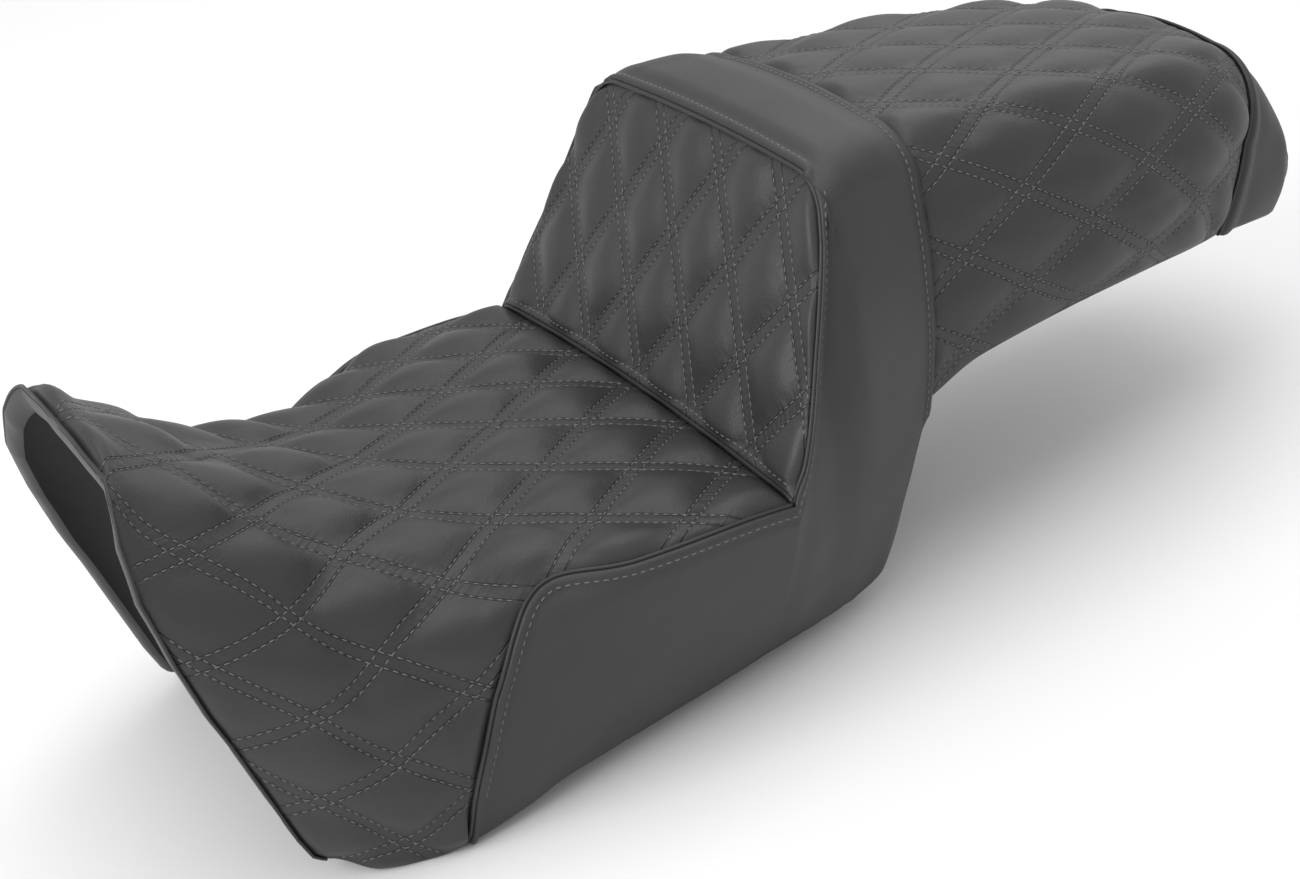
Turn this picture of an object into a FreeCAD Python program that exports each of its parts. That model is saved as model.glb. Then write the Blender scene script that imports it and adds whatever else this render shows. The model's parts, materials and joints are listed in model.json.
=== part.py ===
"""Two-up motorcycle seat with a step between the rider and the passenger.

The seat is a stack of planar sections.  Each section holds the X direction and
a line in the side view that runs from the top profile down to the base line, so
the sections fan round the step.  Blocks, covers, foams and the pan are lofts
through the same sections, drawn in by different amounts.

Frame: +Z up, nose towards -Y, the rider's left is +X.  The origin is on the
plane that the seat rests on, at the middle of its length and width.
All sizes are in millimetres.
"""
import FreeCAD
import Part
import math
import os

from FreeCAD import Vector

# ---------------------------------------------------------------- side view
rider_length = 364.0          # nose lip to the seam at the foot of the backrest
backrest_lean = 76.0          # how far the backrest face leans back
backrest_rise = 165.0         # height of the backrest face
band_depth = 79.0             # smooth band over the top of the backrest
passenger_length = 322.0      # band to tail seam
tail_length = 31.0            # tail seam to the rear end
rim_depth = 11.0              # padded rim in front of the nose lip

seat_height = 157.0           # seam at the foot of the backrest
nose_rise = 143.0             # nose above that seam
rider_base_height = 14.5      # underside of the rider part
passenger_base_height = 155.0
passenger_fall = 60.0         # fall of the passenger top towards the tail

# -------------------------------------------------------------------- widths
rider_half_width = 188.0      # upper edge of the rider part
rider_base_half_width = 161.0
backrest_top_half_width = 136.0
passenger_half_width = 138.0
passenger_base_half_width = 131.0

# --------------------------------------------------------- covers, pan, foam
cover_thickness = 2.5
hem_width = 16.0              # cover turned under the edge of the pan
pan_thickness = 3.5
gel_thickness = 14.0
gel_cover = 22.0              # foam above a gel pad
fit_gap = 0.15                # clearance between pieces that are glued or pressed

# -------------------------------------------- openings in the pan's underside
tunnel_half_width = 104.0     # front arch at the feet
tunnel_crown = 24.0           # padding between the nose and the arch
tunnel_length = 205.0         # how far the arch runs back
channel_half_width = 84.0     # channel over the rear mudguard
channel_height = 62.0

# ----------------------------------------------------------------- trim
welt_radius = 2.2

# ------------------------------------------------------- mounts and hardware
tongue_width = 46.0
tongue_thickness = 3.0
tongue_reach = 42.0           # free length that slides under the frame
tongue_grip = 70.0            # length riveted under the pan
tab_width = 38.0
tab_thickness = 3.0
tab_overhang = 26.0           # past the rear end of the seat
tab_grip = 40.0               # length under the pan
tab_hole_radius = 4.25        # clears an M8 screw
tab_rise = 17.0               # top face of the tab over the passenger base
rivet_shank = 4.8
rivet_head = 9.5
rivet_head_height = 1.8
bumper_radius = 14.0
bumper_foot_radius = 11.5
bumper_spread = 62.0          # from the middle plane to a bumper
bumper_heel_gap = 22.0        # from the heel of the rider part to the rear pair
bumper_pitch = 108.0          # between the two pairs
screw_radius = 2.5
screw_head_radius = 4.6
screw_head_height = 3.0
screw_recess = 7.0            # depth of a bumper's counterbore
washer_radius = 8.0
washer_thickness = 1.2
nut_radius = 4.6              # to the corners of the hexagon
nut_height = 4.0
staple_length = 10.0
staple_leg = 4.5
staple_width = 1.0
staple_wire = 0.6
staple_pitch = 34.0

# ------------------------------------------------------------ derived places
overall_length = (rim_depth + rider_length + backrest_lean + band_depth
                  + passenger_length + tail_length + tab_overhang)
nose_y = -overall_length / 2.0 + rim_depth
seam_y = nose_y + rider_length
top_y = seam_y + backrest_lean
band_y = top_y + band_depth
tail_y = band_y + passenger_length
end_y = tail_y + tail_length
tab_height = passenger_base_height + tab_rise
top_height = seat_height + backrest_rise
heel_y = top_y - 2.0
step_y = band_y - 12.0
tail_base_y = tail_y - 60.0

# A station is one section: top y, top z, base y, base z, half width, corner
# width, corner height, crown, base half width, bulge of the side.


def rider_station(share, rise, base_shift, base_z, width, corner, drop, crown, base, bulge):
    """A section of the rider part at a share of its length."""
    y = nose_y + rider_length * share
    half = rider_half_width * width
    return (y, seat_height + nose_rise * rise, y + base_shift, rider_base_height + base_z,
            half, half * corner, drop, crown, rider_base_half_width * base, bulge)


def backrest_station(share, half, corner, drop, crown, base, bulge):
    """A section through the backrest face at a share of its rise."""
    base_start = seam_y - 12.0
    base_end = heel_y - 6.0
    return (seam_y + backrest_lean * share, seat_height + backrest_rise * share,
            base_start + (base_end - base_start) * share,
            rider_base_height,
            half, corner, drop, crown, rider_base_half_width * base, bulge)


def band_station(share, rise, base_share, base_rise, narrowing, corner, drop, crown, bulge):
    """A section through the band; its base runs up the step behind the rider."""
    low = rider_base_height
    high = passenger_base_height - 17.0
    half = backrest_top_half_width - narrowing
    return (top_y + band_depth * share, top_height + rise,
            heel_y - 6.0 + (step_y - heel_y + 6.0) * base_share,
            low + (high - low) * base_rise,
            half, corner, drop, crown, passenger_base_half_width, bulge)


def passenger_station(share, fall, base_share, base_drop, width, corner, drop, crown,
                      base_taper, bulge):
    """A section of the passenger part at a share of its length."""
    half = passenger_half_width * width
    return (band_y + passenger_length * share, top_height - passenger_fall * fall,
            step_y + (tail_base_y - step_y) * base_share,
            passenger_base_height - base_drop,
            half, half * corner, drop, crown,
            passenger_base_half_width * base_taper, bulge)


def tail_station(share, fall, base_back, base_drop, width, corner, drop, crown, base, bulge):
    """A section of the tail, which closes in towards the rear end."""
    half = passenger_half_width * width
    return (tail_y + tail_length * share, top_height - passenger_fall - fall,
            tail_base_y + base_back, passenger_base_height - base_drop,
            half, half * corner, drop, crown, passenger_base_half_width * base, bulge)


seat_seam = backrest_station(0.0, rider_half_width * 0.995, 16.0, 15.0, 7.0, 0.876, 6.0)
band_front = backrest_station(1.0, backrest_top_half_width, 40.0, 22.0, 3.0,
                              passenger_base_half_width / rider_base_half_width, 34.0)
band_rear = band_station(1.0, 0.0, 1.0, 1.0, 13.0, 48.0, 32.0, 5.0, 8.0)
tail_seam = passenger_station(1.0, 1.0, 1.0, 6.0, 0.775, 0.55, 58.0, 4.0, 0.863, 3.0)

rider_rows = [
    rider_station(0.000, 1.000, 29.0, -0.5, 0.680, 0.99, 140.0, 0.0, 0.783, 2.0),
    rider_station(0.099, 0.762, 26.0, -11.5, 0.755, 0.90, 140.0, 2.0, 0.863, 3.0),
    rider_station(0.206, 0.517, 14.0, -14.5, 0.798, 0.87, 130.0, 4.0, 0.925, 4.0),
    rider_station(0.327, 0.336, -3.0, -12.5, 0.840, 0.73, 95.0, 5.0, 0.981, 5.0),
    rider_station(0.459, 0.196, -7.0, -5.5, 0.894, 0.60, 75.0, 6.0, 1.000, 6.0),
    rider_station(0.571, 0.140, -8.0, 0.0, 0.941, 0.39, 42.0, 8.0, 0.981, 6.0),
    rider_station(0.701, 0.098, -8.0, 0.0, 0.989, 0.16, 20.0, 8.0, 0.950, 6.0),
    rider_station(0.885, 0.056, -10.0, 0.0, 1.000, 0.10, 16.0, 8.0, 0.907, 6.0),
    seat_seam]
backrest_rows = [
    seat_seam,
    backrest_station(0.26, rider_half_width * 0.950, 13.0, 26.0, 9.0, 0.863, 14.0),
    backrest_station(0.57, rider_half_width * 0.860, 14.0, 26.0, 11.0, 0.845, 22.0),
    backrest_station(0.845, backrest_top_half_width * 1.080, 22.0, 26.0, 8.0, 0.826, 30.0),
    band_front]
band_rows = [
    band_front,
    band_station(0.253, 8.0, 0.32, 0.076, 3.0, 40.0, 26.0, 4.0, 26.0),
    band_station(0.633, 7.0, 0.653, 0.474, 8.0, 40.0, 28.0, 4.0, 16.0),
    band_rear]
passenger_rows = [
    band_rear,
    passenger_station(0.196, 0.100, 0.182, 3.0, 1.000, 0.45, 70.0, 5.0, 0.992, 6.0),
    passenger_station(0.444, 0.317, 0.474, 0.0, 1.014, 0.39, 84.0, 4.0, 0.970, 6.0),
    passenger_station(0.658, 0.517, 0.730, 2.0, 0.978, 0.40, 78.0, 4.0, 0.931, 6.0),
    passenger_station(0.848, 0.733, 0.912, 5.0, 0.905, 0.47, 62.0, 4.0, 0.893, 4.0),
    tail_seam]
tail_rows = [
    tail_seam,
    tail_station(0.484, 19.0, 41.0, 12.0, 0.755, 0.53, 52.0, 3.0, 0.824, 3.0),
    tail_station(0.839, 44.0, 65.0, 16.0, 0.740, 0.51, 38.0, 3.0, 0.775, 3.0),
    tail_station(1.000, 70.0, 77.0, 9.0, 0.690, 0.50, 20.0, 2.0, 0.700, 3.0)]


# ------------------------------------------------------------------- helpers
def blend(rows, t):
    """Smooth values between rows: a cubic whose slopes never overshoot."""
    last = len(rows) - 1
    i = min(int(t), last - 1)
    f = t - i

    def slope(j, column):
        if j <= 0 or j >= last:
            k = min(max(j, 0), last - 1) if j <= 0 else last - 1
            return rows[k + 1][column] - rows[k][column]
        before = rows[j][column] - rows[j - 1][column]
        after = rows[j + 1][column] - rows[j][column]
        if before * after <= 0.0:
            return 0.0
        return 2.0 * before * after / (before + after)

    values = []
    for column in range(len(rows[0])):
        a = rows[i][column]
        b = rows[i + 1][column]
        sa = slope(i, column)
        sb = slope(i + 1, column)
        values.append((2 * f**3 - 3 * f**2 + 1) * a + (f**3 - 2 * f**2 + f) * sa
                      + (3 * f**2 - 2 * f**3) * b + (f**3 - f**2) * sb)
    return tuple(values)


def stations(rows, parts):
    """Stations spread over all rows, with so many parts between two rows."""
    count = (len(rows) - 1) * parts
    return [blend(rows, k / parts) for k in range(count + 1)]


def fan(st):
    """Length of a section's line in the side view and its unit direction."""
    dy = st[2] - st[0]
    dz = st[3] - st[1]
    length = math.hypot(dy, dz)
    return length, dy / length, dz / length


def crossing(run, line):
    """Sine of the angle between a run of a profile and a section's line."""
    size = math.hypot(run[0], run[1])
    sine = abs(run[0] * line[1] - run[1] * line[0]) / size
    return max(sine, 0.3)


def thicken(rows):
    """Stations with the sines at their top and base, for true wall thickness."""
    result = []
    for i, st in enumerate(rows):
        a = rows[max(i - 1, 0)]
        b = rows[min(i + 1, len(rows) - 1)]
        _, dy, dz = fan(st)
        top = crossing((b[0] - a[0], b[1] - a[1]), (dy, dz))
        low = crossing((b[2] - a[2], b[3] - a[3]), (dy, dz))
        result.append((st, top, low))
    return result


def at(st, x, w):
    """The point of a section that is x from the middle and w down its line."""
    _, dy, dz = fan(st)
    return Vector(x, st[0] + dy * w, st[1] + dz * w)


def side_x(st, w):
    """Half width of a section at a depth w down its line."""
    length = fan(st)[0]
    half, corner, drop, crown, base, bulge = st[4:]
    if w < crown:
        return (half - corner) * math.sqrt(max(w, 0.0) / crown)
    if w < crown + drop:
        return half - corner + corner * math.sqrt(1.0 - (1.0 - (w - crown) / drop)**2)
    v = (w - crown - drop) / (length - crown - drop)
    return half + (base - half) * v + bulge * 4.0 * v * (1.0 - v)


def half_outline(st):
    """Points from the middle of the top, round the corner and down the side."""
    length = fan(st)[0]
    half, corner, drop, crown, base, bulge = st[4:]
    flat = half - corner
    points = [(0.0, 0.0)]
    if flat > 10.0:
        points += [(flat * u, crown * u**2) for u in (0.45, 0.8)]
    for k in range(1, 7):
        angle = math.radians(15.0 * k)
        points.append((flat + corner * math.sin(angle), crown + drop * (1 - math.cos(angle))))
    for v in (0.2, 0.4, 0.6, 0.8, 1.0):
        points.append((half + (base - half) * v + bulge * 4.0 * v * (1.0 - v),
                       crown + drop + (length - crown - drop) * v))
    return points


def drawn_in(points, side, top):
    """The half outline moved inwards by side across and by top downwards."""
    moved = []
    for i, (x, w) in enumerate(points):
        a = points[max(i - 1, 0)]
        b = points[min(i + 1, len(points) - 1)]
        run = math.hypot(b[0] - a[0], b[1] - a[1])
        across = (b[1] - a[1]) / run
        down = (b[0] - a[0]) / run
        moved.append((x - side * across if x > 0.0 else 0.0, w + top * down))
    return moved


def section(entry, inset, base_inset):
    """Closed wire of a section, drawn in by inset and raised by base_inset."""
    st, top_sine, low_sine = entry
    length = fan(st)[0] - base_inset / low_sine
    outline = drawn_in(half_outline(st), inset, inset / top_sine)
    kept = [p for p in outline if p[1] < length - 4.0]
    lift = (length - kept[-1][1]) / (outline[-1][1] - kept[-1][1])
    x_end = kept[-1][0] + (outline[-1][0] - kept[-1][0]) * min(lift, 1.0)
    kept.append((x_end, length))
    points = [at(st, -x, w) for x, w in reversed(kept[1:])] + [at(st, x, w) for x, w in kept]
    curve = Part.BSplineCurve()
    curve.interpolate(points)
    closing = Part.LineSegment(points[-1], points[0])
    return Part.Wire([curve.toShape(), closing.toShape()])


def block(entries, inset, base_inset=0.0):
    """Solid through the sections, ruled from each to the next."""
    return Part.makeLoft([section(e, inset, base_inset) for e in entries], True, True)


def strip(entries, half_widths, low, high):
    """Solid of flat bars across the sections, between two heights above the base."""
    wires = []
    for entry, half in zip(entries, half_widths):
        st, _, low_sine = entry
        length = fan(st)[0]
        w_low = length - low / low_sine
        w_high = length - high / low_sine
        corners = [at(st, -half, w_low), at(st, half, w_low),
                   at(st, half, w_high), at(st, -half, w_high)]
        wires.append(Part.makePolygon(corners + corners[:1]))
    return Part.makeLoft(wires, True, True)


def one_solid(shape):
    """The largest solid of a boolean result, with coplanar faces joined."""
    return max(shape.Solids, key=lambda s: s.Volume)


def tube(points, radius, sides=8):
    """Tube through points, with regular polygons as its sections."""
    wires = []
    last_normal = Vector(1, 0, 0)
    for i, p in enumerate(points):
        ahead = points[min(i + 1, len(points) - 1)] - points[max(i - 1, 0)]
        ahead.normalize()
        normal = last_normal - ahead * last_normal.dot(ahead)
        if normal.Length < 0.1:
            normal = Vector(0, 0, 1) - ahead * ahead.z
        normal.normalize()
        binormal = ahead.cross(normal)
        ring = []
        for k in range(sides):
            angle = 2.0 * math.pi * k / sides
            ring.append(p + normal * (radius * math.cos(angle))
                        + binormal * (radius * math.sin(angle)))
        wires.append(Part.makePolygon(ring + ring[:1]))
        last_normal = normal
    return Part.makeLoft(wires, True, True)


def prism(outline):
    """Solid across the whole width over an outline of (y, z) in the side view."""
    reach = rider_half_width * 2.0
    points = [Vector(-reach, y, z) for y, z in outline]
    face = Part.Face(Part.makePolygon(points + points[:1]))
    return face.extrude(Vector(2.0 * reach, 0, 0))


def mirrored(shape):
    """The same shape on the other side of the middle plane."""
    return shape.mirror(Vector(0, 0, 0), Vector(1, 0, 0))


def disc(x, y, z, radius, height):
    """Upright round disc that starts at z."""
    return Part.makeCylinder(radius, height, Vector(x, y, z), Vector(0, 0, 1))


os.makedirs("parts", exist_ok=True)


def save(name, shape):
    """Write one node."""
    shape.exportStep("parts/" + name + ".step")
    print(name, "solids", len(shape.Solids), "valid", shape.isValid(),
          "cm3", round(shape.Volume / 1000.0, 2))


# ---------------------------------------------------------- section entries
rows_in_order = [(rider_rows, 2), (backrest_rows, 2), (band_rows, 3),
                 (passenger_rows, 2), (tail_rows, 2)]
all_stations = []
ranges = []
for rows, parts in rows_in_order:
    more = stations(rows, parts)
    start = max(len(all_stations) - 1, 0)
    all_stations += more if not all_stations else more[1:]
    ranges.append((start, len(all_stations)))
entries = thicken(all_stations)
rider, backrest, band, passenger, tail = [entries[a:b] for a, b in ranges]
inner_tail = tail[:-1] + [(blend(tail_rows, 2.8), tail[-1][1], tail[-1][2])]
inner_entries = entries[:-1] + inner_tail[-1:]


# ------------------------------------------------- openings under the seat
def arch(y, half, foot, crown, below):
    """Arch wire in an upright plane: half an ellipse on two short legs."""
    points = []
    for k in range(13):
        angle = math.pi * k / 12.0
        points.append(Vector(half * math.cos(angle), y, foot + (crown - foot) * math.sin(angle)))
    curve = Part.BSplineCurve()
    curve.interpolate(points)
    right = Vector(half, y, foot - below)
    left = Vector(-half, y, foot - below)
    return Part.Wire([Part.LineSegment(right, points[0]).toShape(), curve.toShape(),
                      Part.LineSegment(points[-1], left).toShape(),
                      Part.LineSegment(left, right).toShape()])


def tunnel(grow):
    """Front arch: it narrows and comes down from the nose towards its end wall."""
    front = nose_y - rim_depth - 10.0
    rear = nose_y + tunnel_length + grow
    crown = seat_height + nose_rise - tunnel_crown
    end_crown = rider_base_height + 30.0
    end_half = tunnel_half_width * 0.72
    fall = (crown - end_crown) / tunnel_length
    start_crown = crown + fall * (nose_y - front)
    wires = [arch(front, tunnel_half_width + grow, 0.0, start_crown + grow, 12.0),
             arch(rear, end_half + grow, 0.0, end_crown + grow, 12.0)]
    return Part.makeLoft(wires, True, True)


def channel(grow):
    """Channel over the mudguard: it runs out under the tail."""
    base = passenger_base_height
    wires = [arch(step_y - 46.0 - grow, channel_half_width + grow, base - 20.0,
                  base + channel_height + grow, 25.0),
             arch(tail_base_y, channel_half_width * 0.95 + grow, base - 20.0,
                  base + channel_height * 0.8 + grow, 25.0),
             arch(end_y + 12.0, channel_half_width * 0.7 + grow, base - 20.0,
                  base + channel_height * 0.3 + grow, 25.0)]
    return Part.makeLoft(wires, True, True)


front_arch = tunnel(0.0)
front_arch_clear = tunnel(pan_thickness)
mudguard_channel = channel(0.0)
mudguard_channel_clear = channel(pan_thickness)

# ------------------------------------------------------------------ the pan
pan_low = cover_thickness
pan_high = cover_thickness + pan_thickness
side_gap = cover_thickness + 1.5
plate = strip(inner_entries, [st[8] - side_gap for st, _, _ in inner_entries], pan_low, pan_high)
inside = [block(part, cover_thickness + fit_gap, pan_low)
          for part in (rider, backrest, band, passenger, inner_tail)]
front_shell = front_arch_clear.common(inside[0])
rear_block = inside[2].fuse([inside[3], inside[4]])
rear_shell = mudguard_channel_clear.common(rear_block)
bare_pan = plate.fuse([front_shell, rear_shell]).cut(front_arch).cut(mudguard_channel)

# ------------------------------------------------------------------ padding
foam_low = pan_high


def foam(parts, hollows):
    """Foam block inside the cover and on top of the pan, with its hollows."""
    shapes = [block(part, cover_thickness, foam_low) for part in parts]
    solid = shapes[0] if len(shapes) == 1 else shapes[0].fuse(shapes[1:])
    for hollow in [front_arch_clear, mudguard_channel_clear] + hollows:
        solid = solid.cut(hollow)
    return one_solid(solid)


def gel_pad(part, first, last, half):
    """Flat pad sunk in the foam, at an even depth below the top."""
    wires = []
    for st, _, _ in part[first:last]:
        corners = [at(st, -half, gel_cover), at(st, half, gel_cover),
                   at(st, half, gel_cover + gel_thickness),
                   at(st, -half, gel_cover + gel_thickness)]
        wires.append(Part.makePolygon(corners + corners[:1]))
    return Part.makeLoft(wires, True, True)


rider_gel_pad = gel_pad(rider, 9, 16, rider_half_width * 0.55)
passenger_gel_pad = gel_pad(passenger, 2, 8, passenger_half_width * 0.46)

# ------------------------------------------------------------------- covers
side_seam_path = [(8.0, 0.070), (7.5, 0.075), (7.0, 0.080), (6.5, 0.085), (6.0, 0.090),
                  (5.5, 0.100), (5.1, 0.115), (4.75, 0.145), (4.47, 0.200), (4.23, 0.270),
                  (3.87, 0.420), (3.5, 0.660), (3.3, 0.820), (3.14, 1.0)]


def skin(part, inner_part=None):
    """Cover over some sections, with a hem turned under the pan's edge."""
    shell = block(part, 0.0).cut(block(inner_part or part, cover_thickness, cover_thickness))
    window = strip(part, [st[8] - hem_width for st, _, _ in part], -8.0, 9.0)
    return shell.cut(window)


def seam_point(rows, t, share, lift):
    """Point on the side of a section at a share of its depth, lifted outwards."""
    st = blend(rows, t)
    w = fan(st)[0] * share
    slope = (side_x(st, w + 0.5) - side_x(st, w - 0.5))
    size = math.hypot(1.0, slope)
    return at(st, side_x(st, w) + lift / size, w - lift * slope / size)


side_seam = [seam_point(rider_rows, t, share, 0.0) for t, share in side_seam_path]
ahead = nose_y - 100.0
above = top_height + 100.0
rider_zone = prism([(p.y, p.z) for p in side_seam]
                   + [(side_seam[-1].y, -50.0), (ahead, -50.0), (ahead, above),
                      (seam_y + 60.0, above), (seam_y + 60.0, side_seam[0].z)])
face_depth = 11.0
face_run = math.hypot(backrest_lean, backrest_rise)
back_y = face_depth * backrest_rise / face_run
back_z = -face_depth * backrest_lean / face_run
face_zone = prism([(seam_y + back_y - backrest_lean * 0.2, seat_height + back_z - backrest_rise * 0.2),
                   (top_y + back_y + backrest_lean * 0.2, top_height + back_z + backrest_rise * 0.2),
                   (ahead, above), (ahead, 0.0)])

rider_skin = skin(rider)
backrest_skin = skin(backrest)
rider_cover = one_solid(rider_skin.common(rider_zone))
backrest_cover = one_solid(backrest_skin.common(face_zone))
side_and_band_cover = one_solid(skin(band).fuse([rider_skin.cut(rider_zone),
                                                backrest_skin.cut(face_zone)]))
passenger_cover = one_solid(skin(passenger))
tail_cover = one_solid(skin(tail, inner_tail).cut(mudguard_channel))

# ---------------------------------------------------------------- nose rim
def rim_station(ahead_by, inset):
    """The nose section moved forward and drawn in for the rolled edge."""
    st = list(rider_rows[0])
    st[0] -= ahead_by
    st[1] -= inset
    st[2] -= ahead_by
    st[3] += inset
    st[4] -= inset
    st[5] -= inset
    st[8] -= inset
    return (tuple(st), 1.0, 1.0)


nose_rim = block([rim_station(0.0, 0.0), rim_station(rim_depth * 0.6, 2.0),
                  rim_station(rim_depth, 7.0)], 0.0).cut(front_arch)
nose_rim = one_solid(nose_rim)

# -------------------------------------------------------------------- welts
lift = welt_radius + fit_gap
side_path = [seam_point(rider_rows, t, min(share, 0.985), lift) for t, share in side_seam_path]
left_side_welt = tube(side_path, welt_radius)
right_side_welt = mirrored(left_side_welt)


def over_the_top(st, depths, lift_by):
    """Points up one side of a section, over its top and down the other."""
    length = fan(st)[0]
    half, corner, drop, crown = st[4:8]
    right = []
    for share in depths:
        w = crown + drop + (length - crown - drop) * share
        right.append(at(st, side_x(st, w) + lift_by, w))
    for k in range(5, 0, -1):
        angle = math.radians(15.0 * k)
        right.append(at(st, half - corner + (corner + lift_by) * math.sin(angle),
                        crown + drop - (drop + lift_by) * math.cos(angle)))
    flat = half - corner
    right += [at(st, flat * u, crown * u**2 - lift_by) for u in (0.9, 0.45)]
    left = [Vector(-p.x, p.y, p.z) for p in reversed(right)]
    return right + [at(st, 0.0, -lift_by)] + left


band_rear_welt = tube(over_the_top(band_rear, (0.98, 0.8, 0.6, 0.4, 0.2, 0.0), lift), welt_radius)
tail_welt = tube(over_the_top(tail_seam, (0.98, 0.75, 0.5, 0.25, 0.0), lift), welt_radius)

face_edge = []
for t in (0.35, 1.0, 1.6, 2.2, 2.8, 3.3):
    edge = blend(backrest_rows, t)
    w_edge = edge[7] + edge[6] * 0.35
    face_edge.append(at(edge, side_x(edge, w_edge) + lift, w_edge - lift * 0.6))
top_edge = over_the_top(band_front, (), lift)
half_top = top_edge[1:len(top_edge) // 2 + 1]
climb = face_edge + half_top
backrest_welt = tube(climb + [Vector(-p.x, p.y, p.z) for p in reversed(climb[:-1])], welt_radius)

# ----------------------------------------------------------------- hardware
pan_under = rider_base_height + pan_low
pan_over = pan_under + pan_thickness


def rivet(x, y, under, upper):
    """Blind rivet from the underside of one plate to the top of another."""
    shank = disc(x, y, under, rivet_shank / 2.0, upper - under)
    low_head = disc(x, y, under - rivet_head_height, rivet_head / 2.0, rivet_head_height)
    high_head = disc(x, y, upper, rivet_shank * 0.72, rivet_head_height * 1.4)
    return shank.fuse([low_head, high_head]).removeSplitter()


def rounded_plate(y_start, y_end, width, z_low, thickness, rounded_y):
    """Flat strip along Y with the two corners at rounded_y rounded."""
    bar = Part.makeBox(width, y_end - y_start, thickness, Vector(-width / 2.0, y_start, z_low))
    upright = [e for e in bar.Edges
               if abs(e.CenterOfMass.y - rounded_y) < 0.01
               and abs(abs(e.CenterOfMass.x) - width / 2.0) < 0.01]
    return bar.makeFillet(width * 0.35, upright)


# Steel tongue under the front of the pan: it slides under the frame.
tunnel_end = nose_y + tunnel_length
tongue_rear = tunnel_end + tongue_grip
tongue_front = tunnel_end - tongue_reach
tongue_low = pan_under - tongue_thickness
front_tongue = rounded_plate(tongue_front, tongue_rear, tongue_width, tongue_low,
                             tongue_thickness, tongue_front)
tongue_rivet_spots = [(sx * tongue_width * 0.28, tongue_rear - back)
                      for sx in (-1.0, 1.0) for back in (tongue_grip * 0.2, tongue_grip * 0.6)]
tongue_rivets = [rivet(x, y, tongue_low, pan_over) for x, y in tongue_rivet_spots]

# Steel tab under the tail with the hole for the seat screw, on a flat land
# that stands down from the roof of the channel.
tab_front = end_y - tab_grip
tab_rear = end_y + tab_overhang
tab_low = tab_height - tab_thickness
rear_mount_tab = rounded_plate(tab_front, tab_rear, tab_width, tab_low, tab_thickness, tab_rear)
tab_hole_y = end_y + tab_overhang * 0.5
rear_mount_tab = rear_mount_tab.cut(disc(0.0, tab_hole_y, tab_low - 1.0, tab_hole_radius,
                                         tab_thickness + 2.0))
land_top = tab_height + 26.0
tab_land = Part.makeBox(tab_width + 8.0, tab_grip - 4.0, land_top - tab_height,
                        Vector(-tab_width / 2.0 - 4.0, tab_front, tab_height))
tab_land = tab_land.common(mudguard_channel_clear).common(rear_block)


def screw_up(x, y, head_z, shank_top):
    """Pan-head screw from below, with a cross slot in its head."""
    head = disc(x, y, head_z, screw_head_radius, screw_head_height)
    slot = Part.makeBox(6.0, 1.2, 1.4, Vector(x - 3.0, y - 0.6, head_z))
    cross = Part.makeBox(1.2, 6.0, 1.4, Vector(x - 0.6, y - 3.0, head_z))
    shank = disc(x, y, head_z + screw_head_height, screw_radius,
                 shank_top - head_z - screw_head_height)
    return head.fuse(shank).cut(slot).cut(cross).removeSplitter()


def hole(x, y, low, high, radius):
    """Round hollow between two heights."""
    return disc(x, y, low, radius + fit_gap, high - low)


tab_screw_top = tab_height + 9.0
tab_screw_spots = [(sx * tab_width * 0.25, tab_front + tab_grip * 0.35) for sx in (-1.0, 1.0)]
tab_screws = [screw_up(x, y, tab_low - screw_head_height, tab_screw_top)
              for x, y in tab_screw_spots]

# Rubber bumpers under the rider part, each held by a screw, washer and nut.
bumper_rows = [heel_y - bumper_heel_gap, heel_y - bumper_heel_gap - bumper_pitch]
bumper_spots = [(sx * bumper_spread, y) for y in bumper_rows for sx in (-1.0, 1.0)]
nut_top = pan_over + washer_thickness + nut_height


def bumper(x, y):
    """Tapered rubber foot with a counterbore for its screw."""
    foot = Part.makeCone(bumper_foot_radius, bumper_radius, pan_under, Vector(x, y, 0.0))
    bore = disc(x, y, 0.0, screw_head_radius + 1.0, screw_recess)
    return foot.cut(bore).cut(hole(x, y, 0.0, pan_under, screw_radius))


def nut(x, y):
    """Hexagon nut on the washer."""
    low = pan_over + washer_thickness
    corners = []
    for k in range(7):
        angle = math.radians(60.0 * k)
        corners.append(Vector(x + nut_radius * math.cos(angle), y + nut_radius * math.sin(angle), low))
    body = Part.Face(Part.makePolygon(corners)).extrude(Vector(0, 0, nut_height))
    return body.cut(hole(x, y, low, low + nut_height, screw_radius))


pan_bumpers = [bumper(x, y) for x, y in bumper_spots]
bumper_screws = [screw_up(x, y, screw_recess - screw_head_height, nut_top + 1.5)
                 for x, y in bumper_spots]
bumper_washers = [disc(x, y, pan_over, washer_radius, washer_thickness)
                  .cut(hole(x, y, pan_over, nut_top, screw_radius)) for x, y in bumper_spots]
bumper_nuts = [nut(x, y) for x, y in bumper_spots]

# --------------------------------------------- holes and pockets for fixings
rivet_hole = rivet_shank / 2.0
tongue_holes = [hole(x, y, tongue_low, pan_over, rivet_hole) for x, y in tongue_rivet_spots]
tab_holes = [hole(x, y, tab_low, tab_screw_top, screw_radius) for x, y in tab_screw_spots]
bumper_holes = [hole(x, y, pan_under - 1.0, pan_over + 1.0, screw_radius) for x, y in bumper_spots]
front_tongue = front_tongue.cut(Part.makeCompound(tongue_holes))
rear_mount_tab = rear_mount_tab.cut(Part.makeCompound(tab_holes))
base_pan = one_solid(bare_pan.fuse(tab_land).cut(
    Part.makeCompound(tongue_holes + tab_holes + bumper_holes)))
nut_pockets = Part.makeCompound(
    [hole(x, y, pan_over - 1.0, nut_top + 3.0, washer_radius) for x, y in bumper_spots]
    + [hole(x, y, pan_over - 1.0, pan_over + 4.0, rivet_head / 2.0) for x, y in tongue_rivet_spots])

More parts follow.
